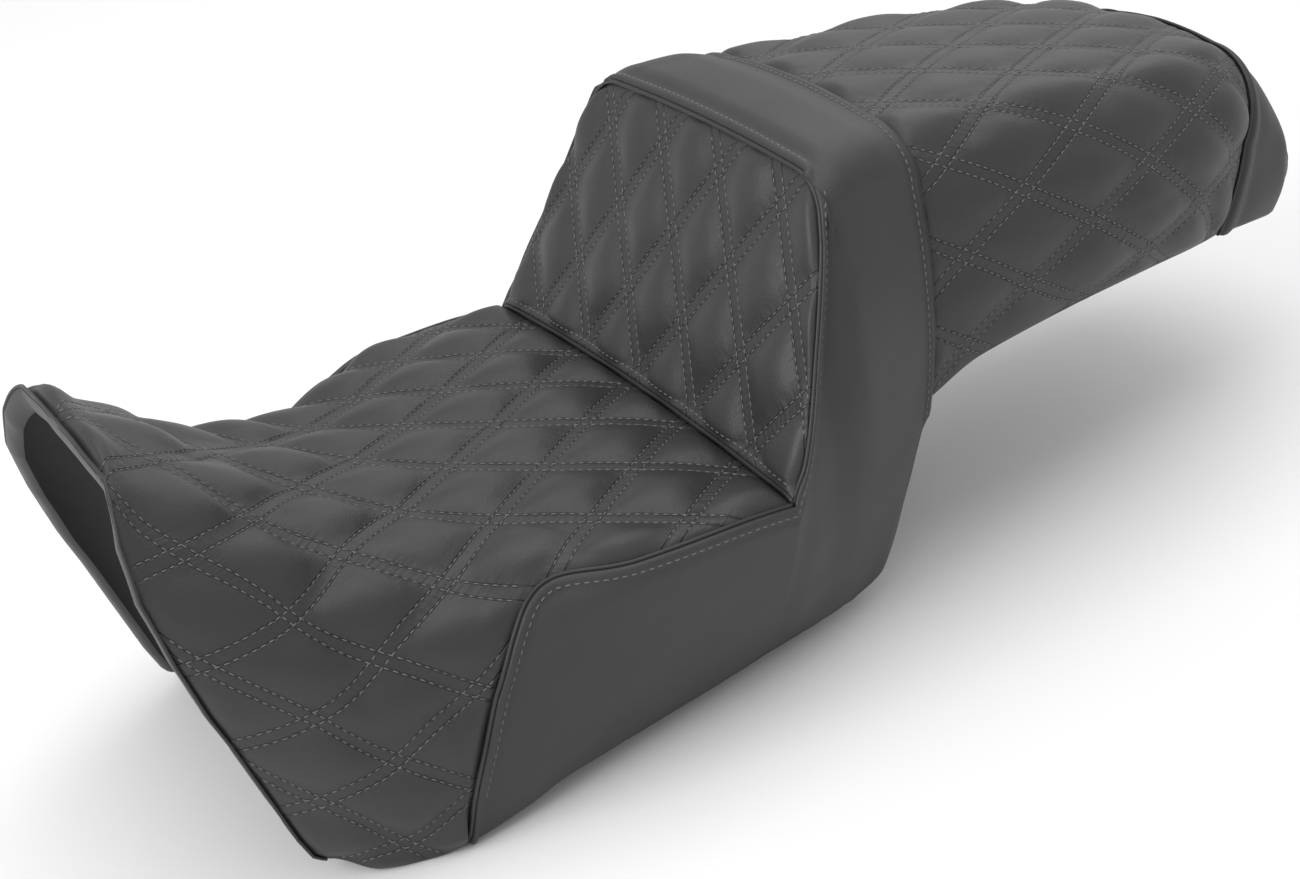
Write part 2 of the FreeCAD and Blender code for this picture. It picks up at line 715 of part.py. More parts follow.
rider_foam = foam([rider], [rider_gel_pad, nut_pockets])
backrest_foam = foam([backrest, band], [nut_pockets])
passenger_foam = foam([passenger, inner_tail], [passenger_gel_pad, tab_land])

# ------------------------------------------------------------------- staples
def staple(st, side, run):
    """Staple sunk flush in the hem, in line with the edge of the pan."""
    size = math.hypot(run[0], run[1])
    angle = math.degrees(math.atan2(run[1], run[0]))
    crown = Part.makeBox(staple_width, staple_length, staple_wire,
                         Vector(-staple_width / 2.0, -staple_length / 2.0, 0.0))
    legs = [Part.makeBox(staple_width, staple_wire, staple_leg,
                         Vector(-staple_width / 2.0, place, 0.0))
            for place in (-staple_length / 2.0, staple_length / 2.0 - staple_wire)]
    body = crown.fuse(legs).removeSplitter()
    body.rotate(Vector(0, 0, 0), Vector(1, 0, 0), angle)
    centre = at(st, side * (st[8] - hem_width * 0.6), fan(st)[0])
    body.translate(centre + Vector(0, -run[1] / size, run[0] / size) * 0.1)
    return body


cover_staples = []
travelled = staple_pitch * 0.5
for first, second in zip(all_stations[:-1], all_stations[1:]):
    run = (second[2] - first[2], second[3] - first[3])
    span = math.hypot(run[0], run[1])
    while travelled < span:
        share = travelled / span
        middle = tuple(a + (b - a) * share for a, b in zip(first, second))
        cover_staples += [staple(middle, side, run) for side in (-1.0, 1.0)]
        travelled += staple_pitch
    travelled -= span

# ------------------------------------------------------------------- writing
single_nodes = {
    "base_pan": base_pan, "rider_foam": rider_foam, "backrest_foam": backrest_foam,
    "passenger_foam": passenger_foam, "rider_gel_pad": rider_gel_pad,
    "passenger_gel_pad": passenger_gel_pad, "rider_cover": rider_cover,
    "backrest_cover": backrest_cover, "side_and_band_cover": side_and_band_cover,
    "passenger_cover": passenger_cover, "tail_cover": tail_cover, "nose_rim": nose_rim,
    "left_side_welt": left_side_welt, "right_side_welt": right_side_welt,
    "backrest_welt": backrest_welt, "band_rear_welt": band_rear_welt,
    "tail_welt": tail_welt, "front_tongue": front_tongue, "rear_mount_tab": rear_mount_tab}
grouped_nodes = {
    "tongue_rivets": tongue_rivets, "tab_screws": tab_screws, "pan_bumpers": pan_bumpers,
    "bumper_screws": bumper_screws, "bumper_washers": bumper_washers,
    "bumper_nuts": bumper_nuts, "cover_staples": cover_staples}
for name, shape in single_nodes.items():
    save(name, shape)
for name, shapes in grouped_nodes.items():
    save(name, Part.makeCompound(shapes))
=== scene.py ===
"""Two-up motorcycle seat: quilted covers, smooth panels, seams, stitches and the stage."""
import json
import math

import bmesh
import bpy
import numpy as np
from bpy.props import FloatProperty, PointerProperty
from mathutils import Matrix, Vector


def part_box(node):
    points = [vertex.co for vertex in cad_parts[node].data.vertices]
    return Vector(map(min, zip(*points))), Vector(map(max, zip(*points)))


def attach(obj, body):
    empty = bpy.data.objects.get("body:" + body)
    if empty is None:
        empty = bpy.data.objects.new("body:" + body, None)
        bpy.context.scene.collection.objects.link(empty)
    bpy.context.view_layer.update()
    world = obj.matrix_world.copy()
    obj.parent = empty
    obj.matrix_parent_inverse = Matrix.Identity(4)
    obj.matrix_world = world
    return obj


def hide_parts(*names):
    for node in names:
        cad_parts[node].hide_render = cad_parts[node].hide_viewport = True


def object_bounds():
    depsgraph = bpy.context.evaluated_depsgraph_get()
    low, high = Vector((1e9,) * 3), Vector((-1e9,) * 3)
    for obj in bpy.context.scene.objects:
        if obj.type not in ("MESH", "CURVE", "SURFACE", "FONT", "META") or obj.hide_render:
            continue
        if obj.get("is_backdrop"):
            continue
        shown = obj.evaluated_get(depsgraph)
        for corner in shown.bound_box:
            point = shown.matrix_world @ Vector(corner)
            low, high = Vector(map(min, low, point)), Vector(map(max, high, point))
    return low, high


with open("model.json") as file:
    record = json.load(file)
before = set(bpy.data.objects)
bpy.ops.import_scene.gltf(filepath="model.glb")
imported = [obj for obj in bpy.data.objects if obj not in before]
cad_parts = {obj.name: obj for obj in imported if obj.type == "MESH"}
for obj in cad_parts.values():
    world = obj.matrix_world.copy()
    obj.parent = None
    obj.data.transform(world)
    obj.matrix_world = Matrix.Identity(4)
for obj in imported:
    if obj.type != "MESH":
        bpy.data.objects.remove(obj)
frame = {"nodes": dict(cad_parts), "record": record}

bl_info = {
    "name": "Two-up motorcycle seat",
    "version": (1, 0, 0),
    "blender": (4, 5, 0),
    "location": "3D View > Sidebar > Seat",
    "description": "Builds the covers, seams and stitches of a two-up seat on its CAD frame",
    "category": "Object",
}

# ---- main sizes, mm
HEM = 14.0  # cover turned under the edge
BASE_TURN = 3.0  # radius of the turn at the base
LINE_STEP = 55.0  # between two quilt lines of one family
LINE_GAP = 4.0  # from a quilt line's middle to each row of stitches
FOLD_STITCH = 7.5  # from a seam to its topstitch
STITCH_PITCH = 5.6
RIM_WIDTH = 19.0  # visible strip of the front rim
LINING_HALF = 96.0  # half width of the arch where its lining meets the pan
LINING_DROP = 80.0  # from the nose's top to the lining there
LINING_DEPTH = 46.0  # from the nose's front to that place
CORE_REACH = 75.0  # foam and pan are squeezed backwards over this length
CORE_SQUEEZE = 0.5  # share of the length that the squeeze takes
FOAM_EXTRA = 0.08  # and how much more of it in the foam
FRONT_BOW = ((14.0, 22.0, 39.0, 75.0, 123.0, 147.0, 187.0, 225.0, 255.0, 285.0),
             (-16.0, -8.5, -4.0, 2.0, 10.0, 15.0, 20.0, 22.0, 17.0, 5.0))  # height, forwards
BOW_FADE = 70.0  # the bow is gone this far behind the front edge
NOSE_ROUND, NOSE_FADE = 12.0, 17.0  # the nose's top edge is lowered, over this length
RIM_LEAN = ((0.0, 2.0, 13.0, 20.0), (-38.0, -14.0, 20.0, 55.0))  # mm inwards, degrees back
EASE_REACH, EASE_PASSES = 45.0, 60  # smoothing of the side panel away from its seams
RIDER_PITCH, RIDER_FIRST = 49.2, 102.0  # quilt: half a diamond's length, first crossing
BACK_PITCH, BACK_FIRST = 50.0, 7.0
REAR_PITCH, REAR_FIRST = 54.8, 18.0
SEAT_CORD, RIM_CORD = 2.5, 1.1  # radii of the cords in the seat seam and at the rim

# Places of the seams, counted in sections from the nose.
SEAM_START = 3.14  # the side seam leaves the base
AT_SEAT, AT_TOP, AT_BAND, AT_TAIL, AT_END = 8.0, 12.0, 15.0, 20.0, 23.0
MIRROR = np.array([-1.0, 1.0, 1.0])


def ends(node, axis):
    """Lowest and highest coordinate of a CAD node along one axis, in mm."""
    low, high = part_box(node)
    return low[axis] * 1000.0, high[axis] * 1000.0


nose_y, seam_y = ends("rider_cover", 1)
top_y = ends("backrest_cover", 1)[1]
top_height = ends("backrest_cover", 2)[1]
seat_height = top_height - 165.0
nose_height = ends("rider_cover", 2)[1]
step_y, tail_y = ends("passenger_cover", 1)
band_y = step_y + 12.0
end_y = ends("tail_cover", 1)[1]
tail_base_y = tail_y - 60.0
heel_y = top_y - 2.0
rider_base, passenger_base = 14.5, 155.0
passenger_fall = top_height - 262.0
rider_half, rider_foot = 188.0, 161.0
back_half, rear_half, rear_foot = 136.0, 138.0, 131.0

# Each row of a table is one section of the seat: top y, top z, base y, base z,
# half width, corner width, corner height, crown, base half width, side bulge.


def rider_row(share, rise, shift, base_z, width, corner, drop, crown, base, bulge):
    y = nose_y + (seam_y - nose_y) * share
    half = rider_half * width
    return (y, seat_height + (nose_height - seat_height) * rise, y + shift,
            rider_base + base_z, half, half * corner, drop, crown, rider_foot * base, bulge)


def back_row(share, half, corner, drop, crown, base, bulge):
    start, end = seam_y - 12.0, heel_y - 6.0
    return (seam_y + (top_y - seam_y) * share, seat_height + (top_height - seat_height) * share,
            start + (end - start) * share, rider_base, half, corner, drop, crown,
            rider_foot * base, bulge)


def band_row(share, rise, base_share, base_rise, narrow, corner, drop, crown, bulge):
    high = passenger_base - 17.0
    return (top_y + (band_y - top_y) * share, top_height + rise,
            heel_y - 6.0 + (step_y - heel_y + 6.0) * base_share,
            rider_base + (high - rider_base) * base_rise, back_half - narrow,
            corner, drop, crown, rear_foot, bulge)


def rear_row(share, fall, base_share, base_drop, width, corner, drop, crown, base, bulge):
    half = rear_half * width
    return (band_y + (tail_y - band_y) * share, top_height - passenger_fall * fall,
            step_y + (tail_base_y - step_y) * base_share, passenger_base - base_drop,
            half, half * corner, drop, crown, rear_foot * base, bulge)


def tail_row(share, fall, base_back, base_drop, width, corner, drop, crown, base, bulge):
    half = rear_half * width
    return (tail_y + (end_y - tail_y) * share, top_height - passenger_fall - fall,
            tail_base_y + base_back, passenger_base - base_drop, half, half * corner,
            drop, crown, rear_foot * base, bulge)


seat_seam = back_row(0.0, rider_half * 0.995, 16.0, 15.0, 7.0, 0.876, 6.0)
band_front = back_row(1.0, back_half, 40.0, 22.0, 3.0, rear_foot / rider_foot, 34.0)
band_rear = band_row(1.0, 0.0, 1.0, 1.0, 13.0, 48.0, 32.0, 5.0, 8.0)
tail_seam = rear_row(1.0, 1.0, 1.0, 6.0, 0.775, 0.55, 58.0, 4.0, 0.863, 3.0)
TABLES = (
    (0.0, [*(rider_row(*row) for row in (
        (0.000, 1.000, 29.0, -0.5, 0.680, 0.82, 135.0, 0.0, 0.783, 2.0),
        (0.099, 0.762, 26.0, -11.5, 0.755, 0.90, 140.0, 2.0, 0.863, 3.0),
        (0.206, 0.517, 14.0, -14.5, 0.798, 0.87, 130.0, 4.0, 0.925, 4.0),
        (0.327, 0.336, -3.0, -12.5, 0.840, 0.73, 95.0, 5.0, 0.981, 5.0),
        (0.459, 0.196, -7.0, -5.5, 0.894, 0.60, 75.0, 6.0, 1.000, 6.0),
        (0.571, 0.140, -8.0, 0.0, 0.941, 0.39, 42.0, 8.0, 0.981, 6.0),
        (0.701, 0.098, -8.0, 0.0, 0.989, 0.16, 20.0, 8.0, 0.950, 6.0),
        (0.885, 0.056, -10.0, 0.0, 1.000, 0.10, 16.0, 8.0, 0.907, 6.0))), seat_seam]),
    (AT_SEAT, [seat_seam, *(back_row(*row) for row in (
        (0.26, rider_half * 0.950, 13.0, 26.0, 9.0, 0.863, 14.0),
        (0.57, rider_half * 0.860, 14.0, 26.0, 11.0, 0.845, 22.0),
        (0.845, back_half * 1.080, 22.0, 26.0, 8.0, 0.826, 30.0))), band_front]),
    (AT_TOP, [band_front, *(band_row(*row) for row in (
        (0.253, 8.0, 0.32, 0.076, 3.0, 40.0, 26.0, 4.0, 26.0),
        (0.633, 7.0, 0.653, 0.474, 8.0, 40.0, 28.0, 4.0, 16.0))), band_rear]),
    (AT_BAND, [band_rear, *(rear_row(*row) for row in (
        (0.196, 0.100, 0.182, 3.0, 1.000, 0.45, 70.0, 5.0, 0.992, 6.0),
        (0.444, 0.317, 0.474, 0.0, 1.014, 0.39, 84.0, 4.0, 0.970, 6.0),
        (0.658, 0.517, 0.730, 2.0, 0.978, 0.40, 78.0, 4.0, 0.931, 6.0),
        (0.848, 0.733, 0.912, 5.0, 0.905, 0.47, 62.0, 4.0, 0.893, 4.0))), tail_seam]),
    (AT_TAIL, [tail_seam, *(tail_row(*row) for row in (
        (0.484, 19.0, 41.0, 12.0, 0.755, 0.53, 52.0, 3.0, 0.824, 3.0),
        (0.839, 44.0, 65.0, 16.0, 0.740, 0.51, 38.0, 3.0, 0.775, 3.0),
        (1.000, 70.0, 77.0, 9.0, 0.690, 0.50, 20.0, 2.0, 0.700, 3.0)))]),
)
# The side seam of the rider part: place along the sections, share of depth.
SIDE_SEAM = ((SEAM_START, 1.0), (3.3, 0.82), (3.5, 0.66), (3.87, 0.42), (4.23, 0.27),
             (4.47, 0.2), (4.75, 0.145), (5.1, 0.115), (5.5, 0.1), (6.0, 0.09),
             (6.5, 0.085), (7.0, 0.08), (7.5, 0.075), (AT_SEAT, 0.07))


# ---- small helpers
def unit(v):
    """Vectors brought to length one."""
    return v / np.maximum(np.linalg.norm(v, axis=-1, keepdims=True), 1e-9)


def smooth(low, high, x):
    """0 below low, 1 above high and an S curve between them."""
    f = np.clip((x - low) / (high - low), 0.0, 1.0)
    return f * f * (3.0 - 2.0 * f)


def between(rows, t):
    """Rows of a table read at places t with a monotone cubic in each column."""
    rows = np.asarray(rows, float)
    steps = np.diff(rows, axis=0)
    slopes = np.zeros_like(rows)
    slopes[0], slopes[-1] = steps[0], steps[-1]
    both = steps[:-1] * steps[1:]
    total = np.where(both > 0, steps[:-1] + steps[1:], 1.0)
    slopes[1:-1] = np.where(both > 0, 2.0 * both / total, 0.0)
    i = np.clip(t.astype(int), 0, len(rows) - 2)
    f = (t - i)[:, None]
    return ((2 * f**3 - 3 * f**2 + 1) * rows[i] + (f**3 - 2 * f**2 + f) * slopes[i]
            + (3 * f**2 - 2 * f**3) * rows[i + 1] + (f**3 - f**2) * slopes[i + 1])


def sections(t):
    """The ten numbers of the section at each place t from 0 at the nose to 23 at the end."""
    t = np.asarray(t, float)
    out = between(TABLES[0][1], np.clip(t, 0.0, AT_SEAT))
    for start, rows in TABLES[1:]:
        more = between(rows, np.clip(t - start, 0.0, len(rows) - 1.0))
        out = np.where((t > start)[:, None], more, out)
    return out


def outline(t):
    """Half outlines of sections: a crown as a parabola, a quarter ellipse for the corner,
    a bulged side, a small turn at the base and the hem. Returns x, depth and arc length."""
    s = sections(t)
    half, corner, drop, crown, base, bulge = [s[:, k:k + 1] for k in range(4, 10)]
    depth = np.hypot(s[:, 2] - s[:, 0], s[:, 3] - s[:, 1])[:, None]
    u = np.linspace(0.0, 1.0, 60, endpoint=False)[None]
    a = np.linspace(0.0, math.pi / 2.0, 90, endpoint=False)[None]
    v = np.linspace(0.0, 1.0, 160)[None]
    turn = np.linspace(0.1, 1.0, 8)[None] * math.pi / 2.0
    under = np.linspace(0.05, 1.0, 20)[None]
    foot = depth - BASE_TURN
    side = half + (base - half) * v + bulge * 4.0 * v * (1.0 - v)
    x = np.concatenate([(half - corner) * u, half - corner + corner * np.sin(a), side,
                        base - BASE_TURN * (1.0 - np.cos(turn)),
                        base - BASE_TURN - HEM * under], 1)
    w = np.concatenate([crown * u**2, crown + drop * (1.0 - np.cos(a)),
                        crown + drop + (foot - crown - drop) * v,
                        foot + BASE_TURN * np.sin(turn), depth + 0.0 * under], 1)
    gone = np.hypot(np.diff(x, axis=1), np.diff(w, axis=1))
    arc = np.concatenate([np.zeros((len(x), 1)), np.cumsum(gone, 1)], 1)
    return s, depth, x, w, arc


def read_rows(known, values, wanted):
    """np.interp for every row at once: each row's numbers are moved to a range of its own."""
    step = max(known.max(), np.abs(wanted).max()) * 2.0 + 1.0
    shift = np.arange(len(known))[:, None] * step
    flat = np.interp((wanted + shift).ravel(), (known + shift).ravel(), values.ravel())
    return flat.reshape(wanted.shape)


def surface(t, r):
    """Points of the seat's skin at place t and signed arc length r from the middle line."""
    s, depth, x, w, arc = outline(t)
    px = read_rows(arc, x, np.abs(r)) * np.sign(r)
    pw = read_rows(arc, w, np.abs(r))
    dy = (s[:, 2:3] - s[:, 0:1]) / depth
    dz = (s[:, 3:4] - s[:, 1:2]) / depth
    return np.stack([px, s[:, 0:1] + dy * pw, s[:, 1:2] + dz * pw], -1)


def to_base(t):
    """Arc length from the middle line to the base edge of each section."""
    return outline(t)[4][:, -21]


def base_at(place):
    """Arc length to the base edge at one place."""
    return float(to_base(np.array([place]))[0])


def at_depth(t, w_wanted):
    """Arc length from the middle line to the place at that depth on each section."""
    w, arc = outline(t)[3:]
    return read_rows(w + np.arange(w.shape[1])[None] * 1e-6, arc, w_wanted[:, None])[:, 0]


FINE_T = np.linspace(0.0, AT_END, 4601)
_fine = sections(FINE_T)
FINE_ARC = np.concatenate([[0.0], np.cumsum(np.hypot(np.diff(_fine[:, 0]),
                                                     np.diff(_fine[:, 1])))])


def arc_at(t):
    """Length of the middle line from the nose to place t."""
    return np.interp(t, FINE_T, FINE_ARC)


def place_at(arc):
    """Place t at a length of the middle line."""
    return np.interp(arc, FINE_ARC, FINE_T)


def panel_edge(t):
    """Arc length r of the seam between the quilted panels and the side panel."""
    t = np.asarray(t, float)
    s = sections(t)
    depth = np.hypot(s[:, 2] - s[:, 0], s[:, 3] - s[:, 1])
    places = np.array(SIDE_SEAM)
    spill = np.linspace(-0.32, 0.32, 9)[None] * smooth(SEAM_START, 3.6, t)[:, None]
    nearby = t[:, None] + spill
    share = np.interp(nearby, places[:, 0], places[:, 1]).mean(1)
    low = at_depth(t, share * depth)
    high = at_depth(t, s[:, 7] + s[:, 6] * 0.35)
    f = np.clip((t - 11.62) / 0.38, 0.0, 1.0)
    high = high - 17.0 * (1.0 - np.sqrt(np.maximum(0.0, 1.0 - f * f)))
    return low + (high - low) * smooth(AT_SEAT, 8.7, t)


def edge_at(place):
    """Arc length to the side panel's seam at one place."""
    return float(panel_edge(np.array([place]))[0])


def across(place, reach, count):
    """Points over the seat at one place, from minus one arc length to the same on the left."""
    return surface(np.array([place]), np.linspace(-reach, reach, count)[None])[0]


def spread(length, step, fine=0.8):
    """Places from 0 to length: closer together near both ends, step apart between."""
    ramp = [0.0]
    gap = fine
    while gap < step and ramp[-1] + gap < length / 3.0:
        ramp.append(ramp[-1] + gap)
        gap *= 1.16
    ramp = np.array(ramp)
    count = max(2, int(round((length - 2.0 * ramp[-1]) / step)))
    middle = np.linspace(ramp[-1], length - ramp[-1], count + 1)
    return np.concatenate([ramp[:-1], middle, (length - ramp[:-1])[::-1]])


def pushed_front(p, arc):
    """The front edge bows forwards between the nose and the feet and is rounded off at both;
    the bow fades along the seat and the nose's rounding ends a little behind the edge."""
    out = p.copy()
    out[..., 1] -= np.interp(p[..., 2], *FRONT_BOW) * (1.0 - smooth(0.0, BOW_FADE, arc))
    nose = 1.0 - smooth(40.0, 95.0, np.abs(p[..., 0]))
    out[..., 2] -= NOSE_ROUND * (1.0 - smooth(0.0, NOSE_FADE, arc)) ** 2 * nose
    return out


def facing(points):
    """Unit normals of a grid of points: the cross product of its two directions."""
    return unit(np.cross(np.gradient(points, axis=1), np.gradient(points, axis=0)))


def wobble(p, size, seed):
    """Gentle unevenness from -1 to 1: sums of sines of the position over a size in mm."""
    k = 2.0 * math.pi / size
    a = np.sin(k * (p[..., 0] + 0.31 * p[..., 1]) + seed)
    b = np.sin(k * 0.83 * (p[..., 1] - 0.27 * p[..., 2]) + 2.1 * seed)
    c = np.sin(k * 1.21 * (p[..., 2] + 0.4 * p[..., 0]) + 3.7 * seed)
    return (a * b + b * c + c * a) / 2.0


# ---- the mesh
def new_object(name, data):
    """An object of some data, linked to the scene."""
    obj = bpy.data.objects.new(name, data)
    bpy.context.scene.collection.objects.link(obj)
    return obj


def grid_mesh(name, grids, lattice=None, weld=0.0):
    """A mesh of one or more grids of points in mm, with the quilt's coordinates as its UV map."""
    verts, faces, uvs = [], [], []
    start = 0
    for number, points in enumerate(grids):
        m, n = points.shape[:2]
        index = np.arange(m * n).reshape(m, n) + start
        quads = np.stack([index[:-1, :-1], index[:-1, 1:], index[1:, 1:], index[1:, :-1]], -1)
        verts.append(points.reshape(-1, 3) * 0.001)
        faces.append(quads.reshape(-1, 4))
        if lattice is None:
            uvs.append(np.full((m * n, 2), 0.5))
        else:
            uvs.append(lattice[number].reshape(-1, 2))
        start += m * n
    verts, faces, uvs = [np.concatenate(part) for part in (verts, faces, uvs)]
    mesh = bpy.data.meshes.new(name)
    mesh.vertices.add(len(verts))
    mesh.vertices.foreach_set("co", verts.ravel())
    mesh.loops.add(faces.size)
    mesh.loops.foreach_set("vertex_index", faces.ravel().astype(np.int32))
    mesh.polygons.add(len(faces))
    mesh.polygons.foreach_set("loop_start", np.arange(0, faces.size, 4, dtype=np.int32))
    mesh.polygons.foreach_set("use_smooth", np.ones(len(faces), bool))
    layer = mesh.uv_layers.new(name="UVMap")
    mesh.update(calc_edges=True)
    layer.data.foreach_set("uv", uvs[faces.ravel()].ravel())
    mesh.validate()
    if weld > 0.0:
        bm = bmesh.new()
        bm.from_mesh(mesh)
        bmesh.ops.remove_doubles(bm, verts=bm.verts, dist=weld * 0.001)
        bm.to_mesh(mesh)
        bm.free()
    return new_object(name, mesh)


def dress(obj, slot, nodes=(), material=None):
    """Gives a piece its body and the material of its slot or another one, and hides the CAD nodes
    that it stands for."""
    obj.data.materials.clear()
    obj.data.materials.append(material_for(material or slot))
    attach(obj, "root")
    if nodes:
        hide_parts(*nodes)
    return obj


def tube(path, radius, sides=8):
    """A round bead along a path: circles across the path's direction, with tapered ends."""
    along = unit(np.gradient(path, axis=0))
    up = unit(np.cross(along, np.array([0.31, 0.17, 0.93])))
    over = np.cross(along, up)
    angle = np.linspace(0.0, 2.0 * math.pi, sides + 1)[None, :, None]
    size = np.full(len(path), radius)
    size[0] = size[-1] = radius * 0.15
    ring = np.cos(angle) * up[:, None] + np.sin(angle) * over[:, None]
    return path[:, None] + ring * size[:, None, None]


# ---- quilting
def crossed(m, k):
    """Quilt coordinates from places along and across: whole numbers are needle lines."""
    return np.stack([(m + k) / 2.0, (m - k) / 2.0], -1)


def rider_lattice(t, r):
    """The rider panel's lines, which lag behind towards the sides and more so at the nose."""
    arc = arc_at(t)[:, None]
    reach = (np.abs(r) / 227.0) ** 1.5
    m = (arc - RIDER_FIRST) / RIDER_PITCH + 0.0 * r
    for _ in range(5):
        lag = 14.0 + 38.0 / (1.0 + np.exp(1.8 * (m - 1.0)))
        m = (arc + lag * reach - RIDER_FIRST) / RIDER_PITCH
    return crossed(m, r / (33.2 + 4.2 / (1.0 + np.exp(3.0 * (m - 0.4)))))


def back_lattice(t, r):
    """The backrest's lines, pulled forwards a little near its sides."""
    arc = (arc_at(t) - arc_at(AT_SEAT))[:, None]
    m = (arc - 0.05 * np.maximum(0.0, np.abs(r) - 60.0) - BACK_FIRST) / BACK_PITCH
    return crossed(m, r / 33.0)


def rear_lattice(t, r):
    """The passenger panel's lines, pulled forwards down its sides."""
    arc = (arc_at(t) - arc_at(AT_BAND))[:, None]
    m = (arc - 0.106 * np.maximum(0.0, np.abs(r) - 80.0) - REAR_FIRST) / REAR_PITCH
    return crossed(m, r / 31.9)


def pillow(d):
    """Height share of the padding at a distance from a line: steep at the line, then flat."""
    f = np.clip((d - LINE_GAP + 0.6) / (LINE_STEP / 2.0 - LINE_GAP), 0.0, 1.0)
    return 1.0 - (1.0 - f) ** 2.3


def quilt(lattice, border, height, p, rim=20.0):
    """Height of a quilted panel: two pillow profiles multiplied, faded at its border."""
    da = np.abs(lattice[..., 0] - np.round(lattice[..., 0])) * LINE_STEP
    db = np.abs(lattice[..., 1] - np.round(lattice[..., 1])) * LINE_STEP
    puff = pillow(da) * pillow(db) * (1.0 - (1.0 - smooth(0.0, rim, border)) ** 2)
    near = np.minimum(da, db)
    channel = 0.5 * np.clip(1.0 - (near / LINE_GAP) ** 2, 0.0, 1.0)
    cell = np.floor(lattice[..., 0]) * 12.99 + np.floor(lattice[..., 1]) * 78.2
    uneven = 1.0 + 0.09 * np.sin(cell)
    crease = np.exp(-((near - 7.0) / 5.0) ** 2) * 0.22 * wobble(p, 13.0, 1.3)
    tuck = -1.2 * (1.0 - smooth(0.0, 6.0, border))
    return height * uneven * puff + channel + crease * smooth(4.0, 10.0, border) + tuck - 0.6


def fold(d):
    """Height of a smooth panel beside a seam: a gap, a raised fold and a return to flat."""
    gap = -1.9 * (1.0 - smooth(0.0, 1.6, d))
    raised = 2.4 * smooth(0.4, 3.0, d) * (1.0 - smooth(5.4, 10.0, d))
    return gap + raised


def groove(d, at):
    """The needle line's dip beside the raised fold."""
    return -0.45 * np.exp(-((d - at) / 0.9) ** 2)


PANELS = {}


def keep(name, t, q, low, high, points):
    """Keeps a finished panel, for the stitches that follow its surface."""
    PANELS[name] = (t, q, low, high, points, facing(points))


def on_panel(name, t, r):
    """Points and normals of a finished panel at places (t, r)."""
    rows, q, low, high, points, normals = PANELS[name]
    i = np.interp(t, rows, np.arange(len(rows)))
    edge0 = np.interp(t, rows, low)
    edge1 = np.interp(t, rows, high)
    j = np.interp((r - edge0) / (edge1 - edge0), q, np.arange(len(q)))
    i0 = np.clip(i.astype(int), 0, len(rows) - 2)
    j0 = np.clip(j.astype(int), 0, len(q) - 2)
    f = (i - i0)[:, None]
    g = (j - j0)[:, None]

    def mix(a):
        return (a[i0, j0] * (1 - f) * (1 - g) + a[i0 + 1, j0] * f * (1 - g)
                + a[i0, j0 + 1] * (1 - f) * g + a[i0 + 1, j0 + 1] * f * g)

    return mix(points), unit(mix(normals))


# ---- covers
def rider_grid(step, height):
    """The rider panel from the nose to the seat seam, down to the side seam or the base."""
    length = arc_at(AT_SEAT)
    t = place_at(spread(length, step))
    hem = (HEM + BASE_TURN) * (1.0 - smooth(2.8, SEAM_START, t))
    edge = np.where(t < SEAM_START, to_base(t) + hem, panel_edge(np.maximum(t, SEAM_START)))
    width = spread(2.0 * edge.mean(), step)
    q = width / width[-1]
    r = (q[None] * 2.0 - 1.0) * edge[:, None]
    arc = arc_at(t)[:, None]
    p = pushed_front(surface(t, r), arc + 0.0 * r)
    n = facing(p)
    slope = np.abs(np.gradient(edge, arc_at(t)))[:, None]
    side = np.where(t < SEAM_START, to_base(t), edge)[:, None] - np.abs(r)
    side = side / np.sqrt(1.0 + np.where(t[:, None] < SEAM_START, 0.0, slope) ** 2)
    border = np.minimum(np.minimum(arc, length - arc) + 0.0 * r, np.maximum(side, 0.0))
    lattice = rider_lattice(t, r)
    h = quilt(lattice, border, height * (0.45 + 0.55 * smooth(15.0, 110.0, arc)), p)
    h = np.where(side < 0.0, -0.5, h)
    base_border = (t[:, None] < SEAM_START) * (1.0 - smooth(0.0, 8.0, np.abs(side)))
    h = h * (1.0 - base_border) + 0.3 * base_border
    p = p + n * h[..., None]
    keep("rider", t, q * 2.0 - 1.0, edge * 0.0, edge, p)
    return p, lattice


def back_grid(step, height):
    """The backrest's face between the seat seam, the two near seams and the top seam."""
    start, stop = arc_at(AT_SEAT), arc_at(AT_TOP)
    t = place_at(start + spread(stop - start, step))
    edge = panel_edge(t)
    width = spread(2.0 * edge.max(), step)
    q = width / width[-1] * 2.0 - 1.0
    r = q[None] * edge[:, None]
    p = surface(t, r)
    n = facing(p)
    arc = arc_at(t)[:, None] + 0.0 * r
    slope = np.gradient(edge, arc_at(t))[:, None]
    side = (edge[:, None] - np.abs(r)) / np.sqrt(1.0 + slope**2)
    lattice = back_lattice(t, r)
    border = np.minimum(np.minimum(arc - start, stop - arc), side)
    h = quilt(lattice, border, height * 0.8, p, 14.0)
    d = arc - start
    foot = fold(d) + groove(d, FOLD_STITCH)
    h = np.where(d < 11.0, np.where(d > 2.0, np.maximum(h, foot), np.minimum(h, foot)), h)
    p = p + n * h[..., None]
    keep("back", t, q, edge * 0.0, edge, p)
    return p, lattice


def eased(points, t, away):
    """The side panel with its folds between sections smoothed: each point moves towards the
    mean of its neighbours along the seat, not at all on a seam and fully away from it."""
    soft = points.copy()
    for _ in range(EASE_PASSES):
        soft[1:-1] = (soft[:-2] + 2.0 * soft[1:-1] + soft[2:]) / 4.0
    along = smooth(10.3, 11.3, t) * (1.0 - smooth(13.4, 14.6, t))
    share = smooth(0.0, EASE_REACH, away) * along[:, None]
    base = 1.0 - smooth(-60.0, -18.0, away - away[:, -1:])
    return points + (soft - points) * (share * base)[..., None]


